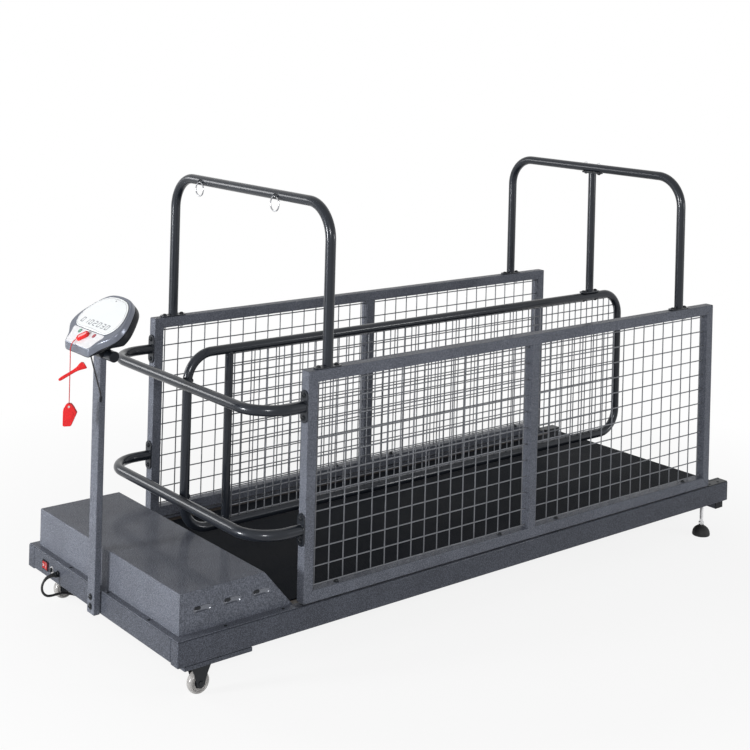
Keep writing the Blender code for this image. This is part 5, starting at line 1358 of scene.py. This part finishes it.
class TREADMILL_OT_side_panels(bpy.types.Operator):
    """Makes the two side panels with their mitred frames, bolts and welded mesh"""
    bl_idname = "treadmill.side_panels"
    bl_label = "Side panels"

    def execute(self, context):
        sizes, _ = settings(context)
        for label, side in SIDES:
            self.panel(label, side * PANEL_Y, sizes)
            for part, start in MESH_BAYS:
                self.mesh(f"{label}_{part}", start, side * PANEL_Y, sizes)
        return {"FINISHED"}

    def panel(self, label, y, sizes):
        panel = Shape()
        t, low, high, end = PANEL_TUBE, PANEL_LOW, PANEL_HIGH, PANEL_LENGTH
        cut = 0.00025
        bars = ([(cut, low), (end - cut, low), (end - t - cut, low + t), (t + cut, low + t)],
                [(t + cut, high - t), (end - t - cut, high - t), (end - cut, high), (cut, high)],
                [(0, low + cut), (t, low + t + cut), (t, high - t - cut), (0, high - cut)],
                [(end, high - cut), (end - t, high - t - cut), (end - t, low + t + cut), (end, low + cut)])
        for bar in bars:
            panel.plate([bar], t, "hammertone", wall(y), sizes.panel_corner * 0.8, 3)
        middle = end / 2
        panel.box((middle - t / 2, y - t / 2, low + t - 0.001), (middle + t / 2, y + t / 2, high - t + 0.001),
                  "hammertone", sizes.panel_corner, 3)
        for x0, z0, x1, z1 in ((0.0025, low + 0.0025, t, low + t), (0.0025, high - 0.0025, t, high - t),
                               (end - 0.0025, high - 0.0025, end - t, high - t),
                               (end - 0.0025, low + 0.0025, end - t, low + t)):
            for way in (-1, 1):
                face = y + way * (t / 2 - 0.0003)
                self.bead(panel, (x0, face, z0), (x1, face, z1), sizes.weld * 0.8)
        for z in (low + t, high - t):
            for way in (-1, 1):
                self.bead(panel, (middle - t / 2, y + way * (t / 2 - 0.0006), z),
                          (middle + t / 2, y + way * (t / 2 - 0.0006), z), sizes.weld * 0.7)
        for x in PANEL_BOLTS:
            panel.turned([(0.009, 0.0037), (0.009, 0), (0, 0), (0, 0.0037)], "black",
                         aim((x, y, RAIL_TOP + GAP), (0, 0, 1)), 24)
            panel.bolt((x, y, low + t), (0, 0, 1), 0.0065, 0.0058)
        for _, z in U_HEIGHTS:
            for way in (-1, 1):
                panel.nut((t, y, z + way * FLANGE_BOLT), (1, 0, 0))
        for hoop in (FRONT_HOOP, REAR_HOOP):
            for way in (-1, 1):
                panel.nut((hoop + way * FLANGE_BOLT, y, high - t), (0, 0, -1), stud=0.002)
        panel.done(f"{label}_panel_tubes", "frame", "hammertone_steel", f"{label}_panel_frame")

    def bead(self, shape, start, end, radius):
        start, end = Vector(start), Vector(end)
        count = max(6, int((end - start).length / 0.0022))
        path = [start.lerp(end, k / count) for k in range(count + 1)]
        shape.tube(path, [radius * (1.0 if k % 2 else 0.86) for k in range(count + 1)], "hammertone", 10)

    def mesh(self, label, start, y, sizes):
        mesh = Shape()
        left = start + (BAY_SPAN - MESH_SPAN) / 2
        low, high = PANEL_LOW + PANEL_TUBE - WIRE_END, PANEL_HIGH - PANEL_TUBE + WIRE_END
        pitch = sizes.side_pitch
        radius = sizes.wire / 2
        skew = radius * 0.86
        for k in range(round(MESH_SPAN / pitch) + 1):
            x = left + pitch * k
            mesh.tube([(x, y + skew, low), (x, y + skew, high)], radius, "wire", 10)
        for k in range(round(MESH_RISE / pitch) + 1):
            z = MESH_LOW + pitch * k
            mesh.tube([(start - WIRE_END, y - skew, z), (start + BAY_SPAN + WIRE_END, y - skew, z)], radius, "wire",
                      10)
        mesh.done(f"{label}_wires", "frame", "mesh_wire", f"{label}_mesh")


def flange(shape, place, weld):
    """A bolting plate with rounded ends, two bolts and the weld round its tube. Its +Z faces the tube."""
    long, wide, thick = FLANGE
    facing = place.to_3x3() @ UP
    shape.plate([capsule(long, wide, 16)], thick, "tube", place @ Matrix.Translation((0, 0, thick / 2 + GAP)),
                0.0008)
    for way in (-1, 1):
        shape.bolt(place @ Vector((0, way * FLANGE_BOLT, thick + GAP)), facing, 0.0062, 0.0047, washer=1.3)
    shape.ring(place @ Vector((0, 0, thick + GAP)), TUBE, weld, facing, "tube", 40, 10)


class TREADMILL_OT_tubes(bpy.types.Operator):
    """Makes the U rails, the hoops, the hanger tube and the tie rings"""
    bl_idname = "treadmill.tubes"
    bl_label = "U rails and hoops"

    def execute(self, context):
        sizes, _ = settings(context)
        for label, z in U_HEIGHTS:
            rail = Shape()
            path = rounded_path([(-0.0022, -PANEL_Y, z), (U_REACH, -PANEL_Y, z), (U_REACH, PANEL_Y, z),
                                 (-0.0022, PANEL_Y, z)], BEND)
            rail.tube(path, TUBE, "tube", 32)
            for way in (-1, 1):
                flange(rail, Matrix(((0, 0, -1, 0), (-1, 0, 0, way * PANEL_Y), (0, 1, 0, z), (0, 0, 0, 1))),
                       sizes.weld)
            rail.done(f"{label}_u_tube", "frame", "grey_tube", f"{label}_u_rail")
        for label, x in (("front", FRONT_HOOP), ("rear", REAR_HOOP)):
            self.hoop(label, x, sizes)
        hanger = Shape()
        low, high = DIVIDER_HIGH + DIVIDER_TUBE, HOOP_TOP - TUBE
        hanger.tube([(REAR_HOOP, 0, low + 0.002), (REAR_HOOP, 0, high - 0.002)], DIVIDER_TUBE, "tube", 32)
        flange(hanger, Matrix.Translation((REAR_HOOP, 0, high)) @ Matrix.Rotation(math.pi, 4, "X"), sizes.weld)
        flange(hanger, Matrix.Translation((REAR_HOOP, 0, low)) @ Matrix.Rotation(math.pi / 2, 4, "Z"), sizes.weld)
        hanger.done("hanger_tube", "frame", "grey_tube", "centre_tube")
        for label, y in EYES:
            ring = Shape()
            ring.ring((EYE_X, y, EYE_Z - RING[0]), *RING, (1, 0, 0), "nickel", 64, 16)
            ring.done(f"{label}_hanging_ring", f"{label}_tie_ring", "plated_ring", f"{label}_tie_ring")
        return {"FINISHED"}

    def hoop(self, label, x, sizes):
        hoop = Shape()
        foot = PANEL_HIGH + 0.0023
        hoop.tube(rounded_path([(x, -PANEL_Y, foot), (x, -PANEL_Y, HOOP_TOP), (x, PANEL_Y, HOOP_TOP),
                                (x, PANEL_Y, foot)], BEND), TUBE, "tube", 32)
        quarter = Matrix.Rotation(math.pi / 2, 4, "Z")
        for way in (-1, 1):
            flange(hoop, Matrix.Translation((x, way * PANEL_Y, PANEL_HIGH)) @ quarter, sizes.weld)
            if label == "rear":
                hoop.nut((x, way * FLANGE_BOLT, HOOP_TOP + TUBE - 0.0008), (0, 0, 1), 0.0065, 0.0042,
                         stud=0.0014)
        if label == "front":
            for _, y in EYES:
                hoop.ring((EYE_X, y, 1.2495), 0.006, 0.002, (0, 1, 0), "tube", 32, 12)
        hoop.done(f"{label}_hoop_tube", "frame", "grey_tube", f"{label}_hoop")


class TREADMILL_OT_divider(bpy.types.Operator):
    """Makes the lane divider: its tube loop, its second upright and its mesh"""
    bl_idname = "treadmill.divider"
    bl_label = "Lane divider"

    def execute(self, context):
        sizes, _ = settings(context)
        loop = Shape()
        corners = [(DIVIDER_FRONT, 0, DIVIDER_LOW), (DIVIDER_REAR, 0, DIVIDER_LOW),
                   (DIVIDER_REAR, 0, DIVIDER_HIGH), (DIVIDER_FRONT, 0, DIVIDER_HIGH)]
        loop.tube(rounded_path(corners, DIVIDER_BEND, closed=True), DIVIDER_TUBE, "tube", 32, closed=True)
        loop.tube([(DIVIDER_UPRIGHT, 0, DIVIDER_LOW + 0.004), (DIVIDER_UPRIGHT, 0, DIVIDER_HIGH - 0.004)],
                  UPRIGHT_TUBE, "tube", 32)
        for z, way in ((DIVIDER_LOW, 1), (DIVIDER_HIGH, -1)):
            loop.ring((DIVIDER_UPRIGHT, 0, z + way * UPRIGHT_TUBE), UPRIGHT_TUBE, sizes.weld, (0, 0, 1), "tube",
                      36, 10)
        for _, z in U_HEIGHTS:
            loop.bolt((DIVIDER_FRONT + DIVIDER_TUBE - 0.0008, 0, z), (1, 0, 0), 0.0065, 0.0052, washer=0)
        for way in (-1, 1):
            loop.bolt((REAR_HOOP + way * FLANGE_BOLT, 0, DIVIDER_HIGH - DIVIDER_TUBE + 0.0008), (0, 0, -1), 0.0065,
                      0.0052, washer=0)
        loop.done("divider_tubes", "frame", "grey_tube", "divider_frame")
        self.mesh(sizes)
        return {"FINISHED"}

    def mesh(self, sizes):
        mesh = Shape()
        (left, right), (low, high) = DIVIDER_MESH
        radius = sizes.wire / 2
        skew = radius * 0.86
        pitch = sizes.divider_pitch
        inner = DIVIDER_BEND - DIVIDER_TUBE
        columns = int((right - left - 0.01) / pitch)
        start = (left + right - columns * pitch) / 2
        for k in range(columns + 1):
            x = start + pitch * k
            edge = max(0.0, x - DIVIDER_REAR + DIVIDER_BEND)
            reach = inner - math.sqrt(max(0.0, inner ** 2 - edge ** 2)) - WIRE_END
            mesh.tube([(x, -skew, low + reach), (x, -skew, high - reach)], radius, "wire", 8)
        rows = int((high - low - 0.004) / pitch)
        start = (low + high - rows * pitch) / 2
        for k in range(rows + 1):
            z = start + pitch * k
            edge = max(0.0, DIVIDER_LOW + DIVIDER_BEND - z, z - DIVIDER_HIGH + DIVIDER_BEND)
            reach = inner - math.sqrt(max(0.0, inner ** 2 - edge ** 2)) - WIRE_END
            mesh.tube([(left - WIRE_END, skew, z), (right - reach, skew, z)], radius, "wire", 8)
        mesh.done("divider_wires", "frame", "mesh_wire", "divider_mesh")


# Console

def sheet(shape, edge, levels, finish_name, place):
    """A thin sheet through (height, inset) levels of one outline."""
    shape.loft(layers((smooth_loop(edge, inset), height) for height, inset in levels), finish_name, place)


class TREADMILL_OT_console(bpy.types.Operator):
    """Makes the console's post, shells, display and keys"""
    bl_idname = "treadmill.console"
    bl_label = "Console and post"

    def execute(self, context):
        self.post()
        place = console_place()
        self.back(place)
        self.face(place)
        self.display(place)
        self.keys(place)
        return {"FINISHED"}

    def post(self):
        post = Shape()
        deep, wide = POST_HALF
        radius, reach = T_BAR
        post.box((POST_X - deep, -wide, POST_FOOT), (POST_X + deep, wide, T_BAR_Z), "hammertone", 0.0025, 3)
        post.tube([(POST_X, -reach, T_BAR_Z), (POST_X, reach, T_BAR_Z)], radius, "tube", 32)
        for way in (-1, 1):
            post.disc(0.015, -0.002, 0.002, "black_plastic", aim((POST_X, way * reach, T_BAR_Z), (0, way, 0)), 32,
                      0.0012)
        for z in (0.127, 0.153):
            post.bolt((POST_X - deep, 0, z), (-1, 0, 0), 0.0062, 0.0048, washer=1.5)
        post.box((POST_X - deep + 0.0015, -wide + 0.0015, POST_FOOT - 0.0002),
                 (POST_X + deep - 0.0015, wide - 0.0015, POST_FOOT + 0.001), "black_plastic", 0.0004)
        post.done("post_and_crossbar", "frame", "hammertone_steel", "console_post")

    def back(self, place):
        back = Shape()
        rear = -FACE_DEPTH - GAP
        levels = ((0, 0.0035, FLARE_LOW), (0, 0.0012, FLARE_LOW), (0.0012, 0.0, FLARE_LOW), (0.006, 0.0, -0.045),
                  (0.012, 0.0, -0.034), (0.018, 0.0008, -0.022), (0.0228, 0.0026, -0.0115),
                  (0.0258, 0.0066, -0.006), (BACK_DEPTH, 0.014, -0.005))
        loops = layers((shield(low, inset), rear - depth) for depth, inset, low in levels)
        back.loft(loops, "black_plastic", place)
        seat = -CONSOLE_OFFSET + 0.005
        back.box((-0.035, -0.02, seat + 0.001), (0.035, 0.02, rear - 0.02), "black_plastic", 0.0025, 3, place)
        for x in (-0.024, 0.024):
            for y in (-0.0135, 0.0135):
                back.turned([(0, 0.0006), (0.0028, 0.0006), (0.0032, 0), (0, 0)], "zinc",
                            place @ aim((x, y, seat + 0.001), DOWN), 16)
        back.done("console_rear_shell", "frame", "black_plastic", "console_back")

    def face(self, place):
        face = Shape()
        levels = ((0.0002, 0.0046, CHIN_LOW), (0.001, 0.0022, CHIN_LOW), (0.0026, 0.0008, CHIN_LOW),
                  (0.005, 0.0002, -0.046), (0.01, 0.0, -0.0495), (0.015, 0.0, -0.0535), (0.0172, 0.0004, FLARE_LOW),
                  (FACE_DEPTH, 0.0014, FLARE_LOW))
        loops = layers((shield(low, inset), -depth) for depth, inset, low in levels)
        face.loft(loops, "silver", place)
        sheet(face, KEYPAD_EDGE, ((-0.0006, 0.0), (0.00015, 0.0), (0.0003, 0.0006)), "overlay", place)
        face.done("console_front_shell", "frame", "silver_plastic", "console_face")

    def display(self, place):
        lens = Shape()
        for levels, finish_name in (
                (((0.0001, -0.001), (0.0005, -0.001), (0.0005, 0.0004), (0.0001, 0.0004)), "trim"),
                (((GAP, 0.0), (0.0011, 0.0), (0.0016, 0.0005), (0.0018, 0.0013)), "display"),
                (((0.0017, 0.0052), (0.00188, 0.0052), (0.00188, 0.0059), (0.0017, 0.0059)), "trim"),
                (((0.0017, 0.0059), (0.00192, 0.0059)), "display")):
            sheet(lens, DISPLAY_EDGE, levels, finish_name, place)
        for k, mark in enumerate(DIGITS):
            self.digit(lens, mark, place, -0.078 + 0.0225 * k, 0.0275)
        lens.turned([(0, 0.0003), (0.0022, 0.0003), (0.0024, 0), (0, 0)], "trim",
                    place @ Matrix.Translation((-0.004, 0.1185, 0.0019)), 20)
        lens.done("display_lens", "frame", "white_panel", "display_panel")

    def digit(self, lens, mark, place, x, y):
        """One seven-segment figure, leaning a little."""
        wide, tall, slant, half_stroke, tip = 0.0115, 0.0075, 0.0022, 0.0011, 0.0008
        for stroke in SEGMENTS[mark]:
            a, b = (Vector((x + i * wide + j * slant, y + j * tall, 0)) for i, j in STROKES[stroke])
            along = (b - a).normalized()
            across = Vector((-along.y, along.x, 0)) * half_stroke
            point = along * tip
            a, b = a + point, b - point
            outline = [(p.x, p.y) for p in (a - across, b - across, b + point, b + across, a + across, a - point)]
            lens.plate([outline], 0.0003, "ink", place @ Matrix.Translation((0, 0, 0.002)), 0)

    def keys(self, place):
        for label, x, ink in (("start", -0.04, "green"), ("stop", 0.04, "red")):
            key = Shape()
            key.turned([(0, 0.001), (0.0055, 0.00095), (0.0072, 0.0007), (0.0078, 0.0001), (0.008, -0.0006),
                        (0.008, -0.0015), (0, -0.0015)], "silver", place @ Matrix.Translation((x, 0, 0)), 40)
            spot = place @ Matrix.Translation((x, 0, 0.00098))
            if label == "start":
                key.plate([[(-0.0022, -0.0034), (0.0036, 0.0), (-0.0022, 0.0034)]], 0.0003, ink, spot, 0)
                key.turned([(0.0056, 0.0001), (0.0063, 0.0001), (0.0063, -0.0002), (0.0056, -0.0002)], ink, spot,
                           40, closed=True)
            else:
                key.turned([(0.0042, 0.00012), (0.0058, 0.00012), (0.0058, -0.0002), (0.0042, -0.0002)], ink, spot,
                           40, closed=True)
                key.plate([[(-0.0018, -0.0018), (0.0018, -0.0018), (0.0018, 0.0018), (-0.0018, 0.0018)]], 0.0003,
                          ink, spot, 0)
            key.done(f"{label}_key_cap", f"{label}_key", "green_key" if label == "start" else "red_plastic",
                     f"{label}_key")


class TREADMILL_OT_beam_controls(bpy.types.Operator):
    """Makes the mains rocker switch and the breaker button on the front beam"""
    bl_idname = "treadmill.beam_controls"
    bl_label = "Switch and breaker"

    def execute(self, context):
        across = Matrix(((0, -1, 0, BEAM_FACE), (1, 0, 0, SWITCH_Y), (0, 0, 1, BEAM_MIDDLE), (0, 0, 0, 1)))
        front = Matrix(((0, 0, -1, BEAM_FACE - 0.0012), (1, 0, 0, SWITCH_Y), (0, 1, 0, BEAM_MIDDLE), (0, 0, 0, 1)))
        bezel = Shape()
        edges = [[(-x, -y), (x, -y), (x, y), (-x, y)] for x, y in ((0.0182, 0.0132), (0.0153, 0.0107))]
        bezel.plate(edges, 0.0024, "black_plastic", front, 0.0007)
        bezel.done("switch_bezel", "frame", "black_plastic")
        rocker = Shape()
        outline = [(-0.014, -0.01), (0.014, -0.01), (0.014, 0.0034), (0.0126, 0.004), (0.007, 0.0027), (0, 0.0018),
                   (-0.007, 0.0027), (-0.0126, 0.004), (-0.014, 0.0034)]
        rocker.plate([outline], 0.0208, "rocker", across, 0.0005)
        for y in (-0.0078, 0.0078):
            lean = math.atan2(0.0019 * (1 if y > 0 else -1), 0.0095)
            spot = (across @ Matrix.Translation((y, 0.0029, 0)) @ Matrix.Rotation(lean, 4, "Z")
                    @ Matrix.Rotation(-math.pi / 2, 4, "X"))
            if y < 0:
                rocker.box((-0.0004, -0.004, -0.0002), (0.0004, 0.004, 0.00025), "display", 0, 1, spot)
            else:
                rocker.turned([(0.0022, 0.00025), (0.0029, 0.00025), (0.0029, -0.0002), (0.0022, -0.0002)],
                              "display", spot, 28, closed=True)
        rocker.done("mains_rocker", "rocker_switch", "red_plastic", "rocker_switch")
        outward = aim((BEAM_FACE, BREAKER_Y, BEAM_MIDDLE), (-1, 0, 0))
        button = Shape()
        button.turned([(0, 0.0079), (0.0036, 0.0079), (0.005, 0.0074), (0.0061, 0.0062), (0.0065, 0.0045),
                       (0.0065, -0.012), (0, -0.012)], "black_plastic", outward, 36)
        button.done("breaker_cap", "breaker_button", "black_plastic", "breaker_button")
        collar = Shape()
        collar.turned([(0.0072, 0.0028), (0.0104, 0.0028), (0.0112, 0.0018), (0.0112, -0.0001), (0.0072, -0.0001)],
                      "zinc", outward, 6, closed=True)
        collar.done("breaker_collar", "frame", "bare_steel")
        return {"FINISHED"}


# Sidebar

STEPS = (TREADMILL_OT_stage, TREADMILL_OT_mains_cord, TREADMILL_OT_lanyard, TREADMILL_OT_console_cable,
         TREADMILL_OT_base_frame, TREADMILL_OT_casters_and_feet, TREADMILL_OT_running_deck,
         TREADMILL_OT_motor_cover, TREADMILL_OT_side_panels, TREADMILL_OT_tubes, TREADMILL_OT_divider,
         TREADMILL_OT_console, TREADMILL_OT_beam_controls)
GROUPS = (TreadmillSizes, TreadmillColours, TreadmillStudio)


class TREADMILL_PT_sidebar(bpy.types.Panel):
    """Lists the steps that build the treadmill"""
    bl_idname = "TREADMILL_PT_sidebar"
    bl_label = "Dog Treadmill"
    bl_space_type = "VIEW_3D"
    bl_region_type = "UI"
    bl_category = "Dog Treadmill"

    def draw(self, context):
        for step in STEPS:
            self.layout.operator(step.bl_idname)


def register():
    for cls in (*GROUPS, *STEPS, TREADMILL_PT_sidebar):
        bpy.utils.register_class(cls)
    bpy.types.Scene.treadmill_sizes = PointerProperty(type=TreadmillSizes)
    bpy.types.Scene.treadmill_colours = PointerProperty(type=TreadmillColours)
    bpy.types.Scene.treadmill_studio = PointerProperty(type=TreadmillStudio)


def unregister():
    del bpy.types.Scene.treadmill_sizes
    del bpy.types.Scene.treadmill_colours
    del bpy.types.Scene.treadmill_studio
    for cls in reversed((*GROUPS, *STEPS, TREADMILL_PT_sidebar)):
        bpy.utils.unregister_class(cls)


def main():
    register()
    for step in STEPS:
        group, name = step.bl_idname.split(".")
        getattr(getattr(bpy.ops, group), name)()


if __name__ == "__main__":
    main()
